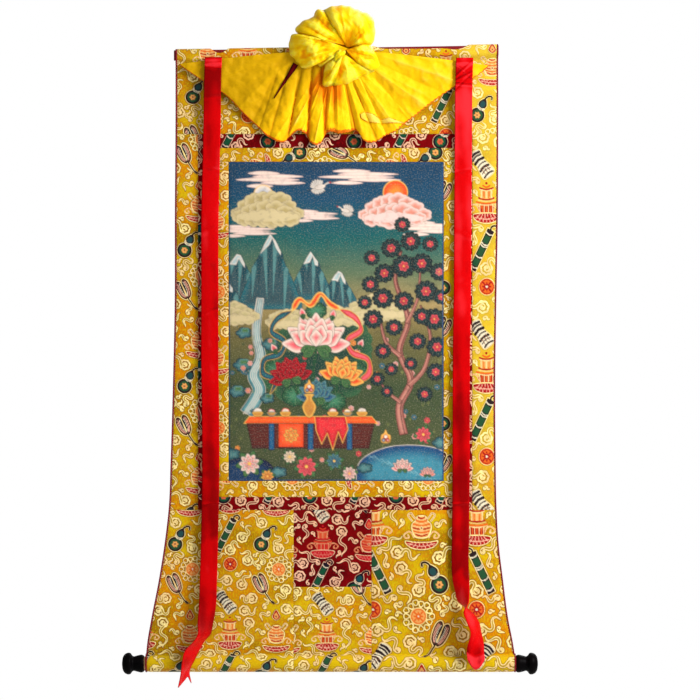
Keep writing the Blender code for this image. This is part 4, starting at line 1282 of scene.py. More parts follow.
def lay_grounds():
    """The sky, from azure through sea green to haze, and the meadow, from olive to moss, in waves."""
    rows, columns = canvas["figure"].shape
    down = (np.arange(rows) * PAINT_STEP - MARGIN)[:, None] + np.zeros((1, columns))
    across = (np.arange(columns) * PAINT_STEP - MARGIN)[None, :]
    down = down + 4 * np.sin(across / 31) + 2.5 * np.sin(across / 13 + 2)
    stops = (
        (-30, tone(2, 58, 94)), (50, tone(0, 84, 116)), (110, tone(6, 106, 106)), (160, tone(104, 128, 98)),
        (205, tone(170, 154, 104)), (250, tone(118, 114, 70)), (330, tone(68, 88, 58)),
        (400, tone(84, 96, 62)), (500, tone(56, 74, 54)),
    )
    at, colours = np.array([s[0] for s in stops], float), np.array([s[1] for s in stops])
    for k in range(3):
        canvas["colour"][..., k] = np.interp(down, at, colours[:, k])


def grow(count, low, high, draw):
    """Calls draw at chance places in a band of the meadow."""
    for _ in range(count):
        draw(luck.random() * (WIDE + 10) - 5, low + luck.random() * (high - low))


def grass(x, y):
    """A tuft of three blades."""
    for lean in (-2.2, 0.2, 2.4):
        canvas_line([(x, y), (x + lean, y - 4.5 + abs(lean) * 0.4)], 0.22, (LEAF, OLIVE)[int(x) % 2])


def small_flower(x, y):
    """A small flower of the meadow with two leaves."""
    for lean in (-60, 60):
        paint(placed(petal(5.5, 1.6), (x, y + 1.5), lean), LEAF, MOSS, 1.5, line_half=0.12)
    pairs = ((MILK, ROSE), (ROSE, RUBY), (BLUSH_WHITE, SCARLET), (SLATE, AZURE), (GILT, SCARLET))
    flower(x, y, 3.4 + 1.2 * luck.random(), (6, 4), *pairs[int(x + y) % 5], turn=x)


lay_grounds()
for row in ((60, 26, 92, 11), (188, 22, 110, 10), (118, 78, 76, 8), (284, 96, 90, 10), (20, 100, 90, 8)):
    streak(*row)
paint(ring(50, 47, 13.5), MILK, tone(196, 206, 214), 9.0, edge=GILT, line_half=0.6)
paint(ring(240, 44, 17.5), SCARLET, tone(250, 150, 60), 14.0, edge=GILT, line_half=0.8)
cloud_bank(56, 74, 86, 34, CREAM, tone(188, 176, 122))
cloud_bank(238, 76, 84, 32, BLUSH_WHITE, tone(220, 150, 130))
crane(132, 36, 1.0, -12)
crane(168, 70, 0.82, 14, mirror=True)
for row in ((12, 196, 70, 66), (118, 190, 64, 60), (60, 204, 92, 98), (158, 208, 62, 52), (-4, 214, 60, 44)):
    peak(*row)
for row in ((124, 292, 84, 62), (168, 262, 40, 40)):
    hill = ring(*row, lobes=13, depth=0.08, steps=130)
    paint(hill, tone(58, 108, 74), tone(34, 78, 66), 20.0, edge=None)
fall = curve([(46, 196), (40, 244), (46, 280), (36, 306), (44, 330), (26, 362)])
paint(ribbon_path(fall, (5.0, 7.0, 9.0, 10.0)), SEA, tone(120, 176, 180), 5.0, edge=MILK)
for shift in (-4.6, -1.8, 1.0, 3.8):
    canvas_line(fall + (shift, 0), 0.6, MILK)
for row in ((4, 222, 66, 22), (150, 226, 96, 20), (88, 230, 60, 20), (214, 216, 90, 26)):
    cloud_bank(*row, CREAM, tone(196, 190, 140))
for x, y, r in ((22, 246, 12), (60, 262, 13), (20, 292, 14), (62, 306, 12), (12, 330, 13), (56, 340, 11)):
    paint(ring(x, y, r, r * 0.72, lobes=5, depth=0.22), ROCK, SLATE, r * 0.5)
    paint(ring(x + 2, y - r * 0.3, r * 0.6, r * 0.4, lobes=4, depth=0.2), SLATE, MOSS, r * 0.3, line_half=0.2)
grow(170, 250, 470, grass)
grow(76, 250, 452, small_flower)

# the blossoming tree: its trunk, its boughs and its clumps of leaves
for points, half in (
    ([(252, 392), (246, 352), (262, 314), (246, 272), (258, 226), (240, 170), (248, 128)], 5.0),
    ([(259, 322), (282, 296), (290, 250), (276, 206)], 3.0), ([(248, 280), (226, 258), (216, 214)], 2.8),
    ([(256, 232), (272, 196), (276, 150)], 2.4), ([(248, 346), (230, 332), (218, 316)], 2.4),
):
    bough = curve(points, steps=10)
    outline = ribbon_path(bough, half * np.array((1.25, 1, 0.8, 0.4)))
    paint(outline, tone(150, 92, 84), tone(206, 150, 134), half)
    canvas_line(bough + (half * 0.3, 0), half * 0.14, WINE)
for x, y, r in (
    (208, 226, 15), (300, 266, 16), (222, 196, 16), (296, 226, 17), (204, 176, 13), (284, 186, 17),
    (252, 150, 18), (224, 160, 15), (278, 146, 16), (303, 158, 14), (238, 238, 13), (272, 258, 13),
    (298, 302, 14), (234, 124, 15), (262, 114, 15), (252, 200, 15), (222, 272, 12), (290, 118, 12),
    (206, 138, 12), (250, 90, 12), (278, 222, 13), (196, 202, 11), (214, 312, 11), (234, 298, 10),
    (282, 334, 12), (306, 194, 12), (228, 330, 9), (262, 290, 10),
):
    leaf_disc(x, y, r, (ROSE, tone(226, 150, 148))[x % 2])

# the lotuses: broad leaves, floating scarves, three great blossoms and their buds
for x, y, r in ((72, 300, 24), (178, 306, 26), (96, 336, 20), (150, 344, 20), (126, 214, 16)):
    leaf = ring(x, y, r, r * 0.8, lobes=9, depth=0.10, steps=54)
    paint(leaf, LEAF, tone(70, 140, 110), r * 0.7, edge=PINE, line_half=0.4)
    for k in range(9):
        vein = placed([(r * 0.15, 0), (r * 0.8, 0)], (0, 0), k * 40 + 10) * (1, 0.8) + (x, y)
        canvas_line(vein, 0.24, tone(130, 180, 130))
for points, half, colour, lining in (
    ([(92, 214), (70, 226), (62, 244), (80, 258), (74, 276), (52, 284), (50, 304), (68, 314),
     (60, 334)], 4.6, INDIGO, SEA),
    ([(160, 212), (182, 224), (190, 242), (172, 256), (178, 274), (200, 284), (202, 304),
     (186, 316)], 4.6, RUBY, ROSE),
    ([(92, 214), (102, 198), (118, 206), (132, 190), (146, 204), (160, 212)], 4.0, GILT, SCARLET),
):
    scarf(points, half, colour, lining)
for stem in ((124, 122, 310, 126, 268), (112, 98, 330, 92, 306), (138, 152, 334, 160, 306)):
    paint(curve([(stem[0], 352), stem[1:3], stem[3:]]), LEAF, half=2.2)
for row in (
    (126, 266, 46, MILK, ROSE), (90, 312, 30, RUBY, tone(120, 8, 30), -14),
    (162, 312, 31, GILT, SCARLET, 14), (126, 340, 27, SLATE, AZURE),
):
    lotus(*row)
for x, y, lean in ((70, 276, -30), (186, 270, 26), (108, 226, -12), (148, 228, 14)):
    paint(placed(petal(15, 4.6, 1.1), (x, y), lean), MILK, ROSE, 3.0)
    paint(placed(petal(9, 4.0), (x, y + 1), lean), MOSS, LEAF, 2.0)

# the offering table, its cloth and what stands on it
gilded = dict(edge=GILT, line_half=0.6)
paint([(30, 366), (206, 366), (214, 376), (22, 376)], SCARLET, tone(250, 120, 50), 5.0, **gilded)
paint([(26, 376), (210, 376), (202, 412), (34, 412)], WINE, tone(110, 50, 44), 6.0)
for k in range(8):
    canvas_line([(30 + k * 0.9, 380 + 4 * k), (206 - k * 0.9, 380 + 4 * k)], 0.4, tone(50, 18, 22))
for x in (62, 118, 174):
    paint(box(x - 4, 376, x + 4, 414), AZURE, tone(40, 110, 150), 2.5)
paint(box(72, 376, 108, 410), SCARLET, tone(246, 112, 60), 8.0)
drape = [(124, 366), (168, 366), (172, 384), (164, 404), (158, 388), (150, 414), (142, 390), (134, 406)]
paint([*drape, (126, 386)], RUBY, tone(230, 60, 70), 6.0, **gilded)
flower(90, 393, 11, (8, 6), GILT, SCARLET)
for x, wide, colour, filling in (
    (42, 15, GILT, MILK), (62, 13, SLATE, ROSE), (82, 15, GILT, SCARLET), (150, 15, GILT, RUBY),
    (171, 13, SLATE, GILT), (192, 15, GILT, MILK),
):
    bowl(x, 364, wide, colour, filling)
ewer = curve(both_sides([(-4, 366), (-10, 352), (-4, 340), (-7, 334)]) + (116, 0), True)
paint(ewer, GILT, HONEY, 4.0)
flame_gems(116, 326, 0.9)

# the pool, with its waves, and the rocks and blossoms along the picture's foot
pool = curve([(196, 424), (240, 408), (300, 412), (330, 440), (320, 486), (200, 486), (184, 450)], True)
paint(pool, AZURE, tone(70, 150, 170), 22.0, edge=MILK, line_half=0.5)
for k in range(16):
    wave = curve([(-6, 0), (-3, -2), (0, 0), (3, -2), (6, 0)], steps=4)
    canvas_line(wave + (206 + (k * 29) % 96, 424 + (k * 11) % 36), 0.32, tone(150, 200, 206))
paint(curve([(-10, 436), (20, 424), (60, 434), (70, 480), (-10, 490)], True), INDIGO, tone(24, 70, 110), 14.0)
for x, y, r in ((196, 440, 12), (72, 446, 13), (4, 420, 14), (306, 404, 14)):
    paint(ring(x, y, r, r * 0.66, lobes=5, depth=0.2), ROCK, SLATE, r * 0.5)
for x, y, r, outer, heart in (
    (30, 434, 15, MILK, ROSE), (112, 438, 14, ROSE, RUBY), (152, 430, 11, SLATE, AZURE),
    (88, 424, 9, MILK, GILT), (280, 392, 11, ROSE, RUBY), (174, 448, 10, MILK, ROSE),
    (56, 452, 9, GILT, SCARLET),
):
    for k in range(6):
        paint(placed(petal(r * 1.35, r * 0.34), (x, y), k * 60 + 20), LEAF, MOSS, 2.0, line_half=0.16)
    flower(x, y, r, (9, 8, 6), outer, heart, turn=x)
lotus(250, 442, 15, MILK, ROSE)
lotus(286, 450, 11, BLUSH_WHITE, SCARLET)
flame_gems(226, 398, 0.9)
for k in (0, 1):
    canvas_line(closed(box(k, k, WIDE - k, TALL - k)), 0.9, (INDIGO, AZURE)[k])
soft = canvas["colour"].copy()
for axis in (0, 1):
    soft = 0.5 * soft + 0.25 * (np.roll(soft, 1, axis) + np.roll(soft, -1, axis))
canvas["colour"] = soft**GLAZE_DEPTH * GLAZE_TONE       # a last warm glaze deepens the darks
print("the garden is painted on", soft.shape[1], "by", soft.shape[0], "places")

# %% [markdown]
# The canvas is a plain tabby, sized and rubbed smooth, so the weave just shows through the paint. The
# paint is matt, and only the gilt lines shine. The colours are read from the raster at every point of
# the mesh, blended from the four nearest places.

# %% The painted canvas
CANVAS_THREAD = 0.0011      # metres
CANVAS_GRID = 1.27          # millimetres


def painting_finish():
    """Matt mineral paint on a fine canvas."""
    material, tree, shader = new_finish("painted_canvas", Roughness=0.72, Specular_IOR_Level=0.14)
    cloth = node(tree, "UVMap", uv_map=CLOTH_MAP).outputs[0]
    colours = stored(tree, "figure_colour").outputs["Color"]
    wear, grime = cloudy(tree, cloth, 500.0, 3.0), cloudy(tree, cloth, 120.0, 3.0)
    weave = woven(tree, cloth, CANVAS_THREAD, CANVAS_THREAD)
    worn = coats(
        tree, colours, (wear, 0.45, 0.8, 0, 0.22, tone(206, 192, 158)),
        (grime, 0.52, 0.28, 0, 0.22, tone(38, 48, 54)), (weave, 0.0, 0.5, 0.14, 0, tone(44, 44, 44)),
    )
    plain = coats(tree, tone(186, 168, 136), (weave, 0.0, 0.6, 0.3, 0, tone(130, 108, 76)))
    paint_or_back = blend(tree, stored(tree, "reverse").outputs["Fac"], worn, plain)
    rough = maths(tree, "MULTIPLY_ADD", stored(tree, "gilt").outputs["Fac"], -0.35, 0.72)
    wire(tree, shader, weave, 0.00018, 0.7, Base_Color=paint_or_back, Roughness=rough)
    return material


def make_picture():
    """The canvas in its window of gold strips, with the painting's colours at its points."""
    top = down_to(PICTURE_TOP)
    front, along, x = panel_grid(top, down_to(PICTURE_BOTTOM), PICTURE_LEFT, PICTURE_RIGHT, CANVAS_GRID)
    across, down = x - PICTURE_LEFT + MARGIN, along - top + MARGIN
    fields = {"figure_colour": "colour", "gilt": "gilt"}
    marks = {key: read_chart(canvas, field, across, down) for key, field in fields.items()}
    piece = make_sheet("painted_picture", front, CLOTH, x, along, marks, reverse=True)
    finish_piece(piece, painting_finish(), "painted_canvas", "picture")
    declare_sheet(piece, PICTURE_SIZE)


make_picture()

# %% [markdown]
# ## Silk and satin
# The veil is thin yellow silk, and part of its light and shade is painted on top of what the lamps do:
# painted orange shade in its hollows and a painted pale highlight on its crests. How deep each point
# lies in a fold is worked out with the folds and kept as an attribute, from -1 in a hollow to 1 on a
# crest. A second attribute, close, paints shade that deepens the silk's colour over the left swag and
# in the hollows at the right. Light also passes through it, which is the shader's subsurface scattering.
# The hem is an orange-red line at a distance from the edge. The ribbons are red satin with the same
# painted tones, which drift more from light to dark.

# %% Silk finish
SILK_THREAD = 0.0006        # metres


def silk_finish(name, body, hollow_shade, crest_highlight, hem=None, rough=0.36, sway=0.35, glow=0.0):
    """Silk in three tones by its painted shade and highlight attribute: painted orange shade, body and a
    painted pale highlight; painted shade by the close attribute, and a hem line by the hem attribute. sway
    is how far clouds shift the painted shade and highlight, glow how much light passes through."""
    material, tree, shader = new_finish(
        name, Roughness=rough, Specular_IOR_Level=0.20, Sheen_Weight=0.05, Sheen_Roughness=0.35,
        Subsurface_Weight=glow, Subsurface_Scale=0.014,
    )
    shader.inputs["Subsurface Radius"].default_value = (1.0, 1.0, 0.1)
    shader.inputs["Specular Tint"].default_value = (*crest_highlight, 1)
    shader.inputs["Sheen Tint"].default_value = (*crest_highlight, 1)
    shade_to_highlight = stored(tree, "shade_to_highlight").outputs["Fac"]
    place = node(tree, "TexCoord").outputs["Object"]
    cloth = node(tree, "UVMap", uv_map=CLOTH_MAP).outputs[0]
    wander = cloudy(tree, place, 34.0, 2.0, (1.0, 1.0, 0.6))
    shade_to_highlight = maths(tree, "MULTIPLY_ADD", maths(tree, "SUBTRACT", wander, 0.5), sway, shade_to_highlight)
    # painted shade in the hollows and painted highlight on the crests
    shown = coats(tree, body, (shade_to_highlight, 0.10, -0.75, 0, 1, hollow_shade), (shade_to_highlight, 0.2, 1.0, 0, 1, crest_highlight))
    # painted shade, a darker copy of the body colour, where the close attribute says
    deep = tuple(0.52 * c for c in body)
    shown = blend(tree, maths(tree, "MULTIPLY", stored(tree, "close").outputs["Fac"], 0.9), shown, deep)
    if hem is not None:
        fray, to_hem = cloudy(tree, cloth, 420.0, 2.0), stored(tree, "hem").outputs["Fac"]
        ragged = maths(tree, "MULTIPLY_ADD", fray, 2.4, to_hem)
        shown = coats(tree, shown, (ragged, 3.1, 2.3, 0, 0.85, hem))
    weave = woven(tree, cloth, SILK_THREAD, SILK_THREAD)
    shown = coats(tree, shown, (weave, 0.0, 0.6, 0.10, 0, hollow_shade))
    crinkle = maths(tree, "MULTIPLY_ADD", cloudy(tree, cloth, 260.0, 3.0), 2.0, weave)
    wire(tree, shader, crinkle, 0.00012, 0.7, Base_Color=shown)
    return material


yellow_silk = silk_finish(
    "yellow_silk", tone(250, 196, 10), tone(232, 122, 2), tone(252, 223, 100), tone(206, 66, 20),
)
# the rosette's silk: a brighter copy of the yellow silk, painted lighter, which also lets light through
lit_silk = silk_finish(
    "lit_silk", tone(255, 211, 12), tone(254, 174, 2), tone(255, 236, 70), tone(222, 120, 20), glow=0.8,
)
red_satin = silk_finish(
    "red_satin", tone(204, 4, 8), tone(134, 1, 4), tone(244, 44, 52), rough=0.28, sway=1.3,
)
maroon_cloth = silk_finish("maroon_cloth", tone(92, 8, 14), tone(56, 3, 8), tone(140, 24, 30), rough=0.6)
print("silk, satin and maroon cloth made")

# %% [markdown]
# ## The veil
# A silk cover hangs over a thangka and is gathered up to show it: two swags run out to the corners
# and a fan of pleats falls between them from the knot. Cloth simulation would drape it, but not into
# these folds, so its surface is worked out on rays from the knot. Each pleat of the fan is a round tube
# that grows towards the hem, and where two meet the higher one wins, which leaves a sharp valley, as in
# real gathers. The swags get long creases with a sharp crest, and crushed silk is a sum of zigzag waves.

# %% Folds in silk
CRUSH_WAVES = 6


def beside_line(x, z, ends):
    """How far along a line a place is, from 0 at its top to 1 at its foot, and how far aside in mm."""
    x0, z0, x1, z1 = ends
    run, length = np.array([x1 - x0, z1 - z0]), math.hypot(x1 - x0, z1 - z0)
    share = ((x - x0) * run[0] + (z - z0) * run[1]) / length**2
    return share, ((x - x0) * run[1] - (z - z0) * run[0]) / length


def crushed(across, down, seed, size):
    """The facets of crushed silk, about -1 to 1: the mean of zigzag waves in random directions, each bent
    by a slower wave. A zigzag of phase t is 4 |t - floor(t) - 1/2| - 1."""
    chance, total = np.random.default_rng(seed), 0.0
    for _ in range(CRUSH_WAVES):
        turn, shift, bend = chance.uniform(0, math.pi), chance.uniform(0, 6), chance.uniform(0, 6)
        wave = size * chance.uniform(0.7, 1.7)
        along = (across * math.cos(turn) + down * math.sin(turn)) / wave
        beside = (down * math.cos(turn) - across * math.sin(turn)) / wave
        phase = along + 0.4 * np.sin(1.6 * beside + bend) + shift
        total = total + 4 * np.abs(phase - np.floor(phase) - 0.5) - 1
    return total / CRUSH_WAVES**0.5


def depth_in_folds(height, columns_wide, scale):
    """Where each point lies in its fold, from -1 to 1: its height less the mean of its row about it."""
    kernel = np.hanning(columns_wide + 2)[1:-1]
    kernel /= kernel.sum()
    padded = np.pad(height, ((0, 0), (columns_wide // 2, columns_wide // 2)), mode="edge")
    mean = np.stack([np.convolve(row, kernel, mode="valid") for row in padded])
    return np.clip((height - mean) / scale, -1, 1)


# %% The veil's folds
VEIL_POLE_X, VEIL_POLE_Z, VEIL_INNER, VEIL_CLOTH = 0.0, 4.3, 14.0, 1.5
VEIL_STAND, TUBE_FULLNESS, TUBE_JOIN = 8.4, 0.62, 5
VEIL_CRUMPLES = ((5, 26.0, 0.68), (8, 9.0, 0.2))    # seed, size of the facets, depth
VEIL_HEM = (
    # degrees down from the left, distance from the knot
    (2.6, 226), (8, 207), (14, 190), (20.3, 175), (25, 168), (32, 163), (38.8, 159.5), (45.8, 158),
    (50.6, 159), (54.4, 158), (58.4, 156), (61.2, 150), (62.6, 137), (64.8, 129), (68.1, 128), (71, 129),
    (73.2, 136), (76.6, 140), (79.6, 138.5), (81.6, 133), (82.8, 123), (85.4, 119), (92.3, 121), (99.1, 120),
    (103, 119), (105.2, 124), (106.6, 135), (109, 141), (113.7, 144), (120.2, 142.5), (125.4, 145),
    (132.8, 145), (141.6, 149), (152.4, 159), (160.3, 172), (164.5, 181), (170, 201), (176.6, 220),
)
TUBES = (
    # top x, z and foot x, z, half width at top and foot, how far the crest stands out at the foot
    (-78, -34, -101, -117, 7, 11, 4.5), (-61, -26, -83, -126, 7, 14.5, 9.5),
    (-42, -26, -55, -116, 6.5, 13, 11), (-27, -24, -28, -131, 6, 12, 12.5), (-8, -40, -7, -112, 4, 7, 7.5),
    (4, -43, 9, -115, 7, 14.5, 10.5), (21, -52, 47, -131, 5, 14, 9), (33, -47, 66, -128, 5, 10, 6.5),
)
SWAG_CREASES = (
    # top x, z and foot x, z, half width, how far the crest stands out
    (-84, -22, -140, -80, 15, 4), (-70, 0, -168, -34, 12, 3), (-96, -10, -150, -30, 8, -1.6),
    (-90, -34, -118, -96, 7, -2.2), (34, -34, 90, -112, 10, 5), (44, -18, 131, -78, 12, 4.6),
    (56, -2, 172, -38, 13, 4), (52, -34, 98, -84, 5, -2), (66, -18, 140, -52, 6, -1.8),
    (60, 4, 150, -8, 7, 2), (78, -60, 104, -96, 4, 1.2), (-60, -10, -98, -40, 5, 1.6),
)
GATHERS = (
    # ridge in degrees, half width, height, from reach, to reach, lean in degrees: small folds from the knot
    (8, 1.6, 0.6, 60, 120, 1), (19, 2.2, 0.8, 20, 110, -2), (36, 2, 0.9, 30, 120, -3),
    (42, 1.2, 0.7, 70, 150, 1), (54.5, 0.9, 1, 50, 120, 1), (61, 1, 1.6, 20, 70, 0),
    (66.5, 0.9, 1.5, 20, 60, 1), (70.4, 0.8, 1.2, 70, 120, -1), (77, 0.9, 1.6, 20, 50, 0),
    (84, 1.2, 1.1, 20, 60, -1), (87.5, 0.8, 0.4, 60, 110, 1), (91.5, 1.2, 0.9, 20, 60, 0),
    (95.5, 0.9, 0.4, 50, 100, 1), (101, 1.3, 1.3, 20, 80, 1), (110, 1.8, 1.2, 20, 70, -2),
    (113.5, 1.2, 0.5, 40, 120, 2), (120, 2, 0.8, 20, 60, -1), (128, 1.6, 0.6, 25, 60, -2),
    (137, 2.6, 0.9, 25, 70, 2), (154, 2.2, 0.8, 25, 80, -1),
)
FLAP = (
    (34.6, -88.3), (40.6, -85.5), (52.5, -88.3), (64.4, -96.7), (76.4, -93.6), (88.3, -97.9),
    (100.2, -101.5), (81.1, -101.2), (64.4, -102), (45.4, -100), (36, -95),
)    # the right swag's turned-up hem: x, z


def veil_height(angle, reach):
    """How far the veil's middle stands out. The fan's tubes are half circles across, rise * sqrt(1 - (aside
    / half width) ^ 2), joined by the sum of fifth powers. Creases are exp(-|aside / half width| ^ 1.2)."""
    x = VEIL_POLE_X - reach * np.cos(np.radians(angle))
    z = VEIL_POLE_Z - reach * np.sin(np.radians(angle))
    height = VEIL_STAND - 2.6 * smooth_step(-20, -90, z) + 4.5 * smooth_step(110, 20, reach)
    stands = 0.0
    for *ends, top, foot, rise in TUBES:
        share, aside = beside_line(x, z, ends)
        half = top + (foot - top) * np.clip(share, 0, 1.2)
        tube = TUBE_FULLNESS * rise * (0.6 + 0.4 * np.clip(share, 0, 1))
        tube = tube * np.sqrt(np.clip(1 - (aside / half) ** 2, 0, 1))
        stands = stands + (tube * smooth_step(-0.25, 0.05, share)) ** TUBE_JOIN
    height = height + stands ** (1 / TUBE_JOIN)
    for *ends, half, rise in SWAG_CREASES:
        share, aside = beside_line(x, z, ends)
        fade = smooth_step(-0.15, 0.2, share) * smooth_step(1.25, 0.75, share)
        height = height + rise * fade * np.exp(-(np.abs(aside / half) ** 1.2))
    for ridge, half_width, rise, near, far, lean in GATHERS:
        away = np.abs(angle - ridge - lean * (reach - near) / 90) / half_width
        height = height + rise * smooth_step(near, far, reach) * np.exp(-(away**1.5))
    for seed, size, deep in VEIL_CRUMPLES:
        height = height + crushed(x, z, seed, size) * deep
    return height + 1.5 * smooth_step(-0.8, 0.8, patch_distance(np.array(FLAP, float), x, z))


def make_veil_cloth():
    """The veil's skin in rays and rows, with its painted shade and highlight attributes and its hem
    attribute.
    """
    angle = np.linspace(VEIL_HEM[0][0], VEIL_HEM[-1][0], 4 * 140 + 1)
    share = np.linspace(0, 1, 4 * 22 + 1)
    edge = smooth_table(VEIL_HEM, angle) + 0.6 * np.sin(angle * 2.9) * smooth_step(50, 60, angle)
    distance = VEIL_INNER + share[:, None] * (edge - VEIL_INNER)[None, :]
    rays = np.repeat(angle[None, :], len(share), 0)
    height = veil_height(rays, distance)
    turn = np.radians(rays)
    x, z = VEIL_POLE_X - distance * np.cos(turn), VEIL_POLE_Z - distance * np.sin(turn)
    # painted shade and highlight: fold hollows painted darker and crests lighter, painted shade just below
    # the knot in the fan, and the right swag painted lighter
    shade_to_highlight = depth_in_folds(height, 41, 4.2) + 0.35 * depth_in_folds(height, 13, 1.2)
    near = smooth_step(98, 52, distance) * smooth_step(48, 60, rays) * smooth_step(104, 92, rays)
    shade_to_highlight = np.clip(0.66 * shade_to_highlight - 0.9 * near + 0.25 * smooth_step(112, 130, rays), -1, 1)
    # close is painted shade: over the left swag, and in the hollows at the right
    close = smooth_step(58, 40, rays) * (0.72 + 0.3 * smooth_step(90, 150, distance) - 0.3 * shade_to_highlight)
    close = close + (0.12 + 0.35 * smooth_step(0.1, -0.5, shade_to_highlight)) * smooth_step(100, 112, rays)
    in_fan = 0.5 * smooth_step(46, 52, rays) * smooth_step(116, 108, rays)
    in_fan = in_fan + 0.2 * smooth_step(81, 85, rays) * smooth_step(101, 97, rays)
    to_hem = (edge[None, :] - distance) * (1 - in_fan)
    in_flap = patch_distance(np.array(FLAP, float), x, z)
    # the turned-up flap is painted lighter
    shade_to_highlight = np.clip(shade_to_highlight + 0.5 * smooth_step(-0.5, 1.0, in_flap), -1, 1)
    to_flap = np.abs(in_flap) + 1.1
    droop = 7.0 * (distance / 180) ** 2 * (smooth_step(26, 0, rays) + smooth_step(154, 180, rays))
    front = np.stack([x, -height - VEIL_CLOTH / 2, z - droop], -1)
    marks = {"shade_to_highlight": shade_to_highlight, "hem": np.minimum(to_hem, to_flap), "close": np.clip(close, 0, 1)}
    return make_sheet("veil_cloth", front, VEIL_CLOTH, np.radians(rays) * 100, distance, marks)


def skin_area(piece):
    """The area of one side of a cloth's skin, in square millimetres."""
    return sum(polygon.area for polygon in piece.data.polygons) / METRE**2 / 2


veil_cloth = make_veil_cloth()
print("the veil's swags and fan cover", round(skin_area(veil_cloth) / 100), "square centimetres")

# %% [markdown]
# ## The rosette
# The veil's gathered top is knotted into a rosette: a full smooth lobe above, a ruffle at its left, a
# scallop shell of pleats to the left, a loose lobe to the right, and a pointed flap and a straight tail
# below. Each is a loop of cloth, so each is a closed puff: rays from the pinch to its own rim, a belly
# that swells and falls again, and a thin rounded rim. Pleats start tight at the pinch and most of them
# run out before the rim. A small knot behind the pinch fills the middle. Then the puffs are joined.

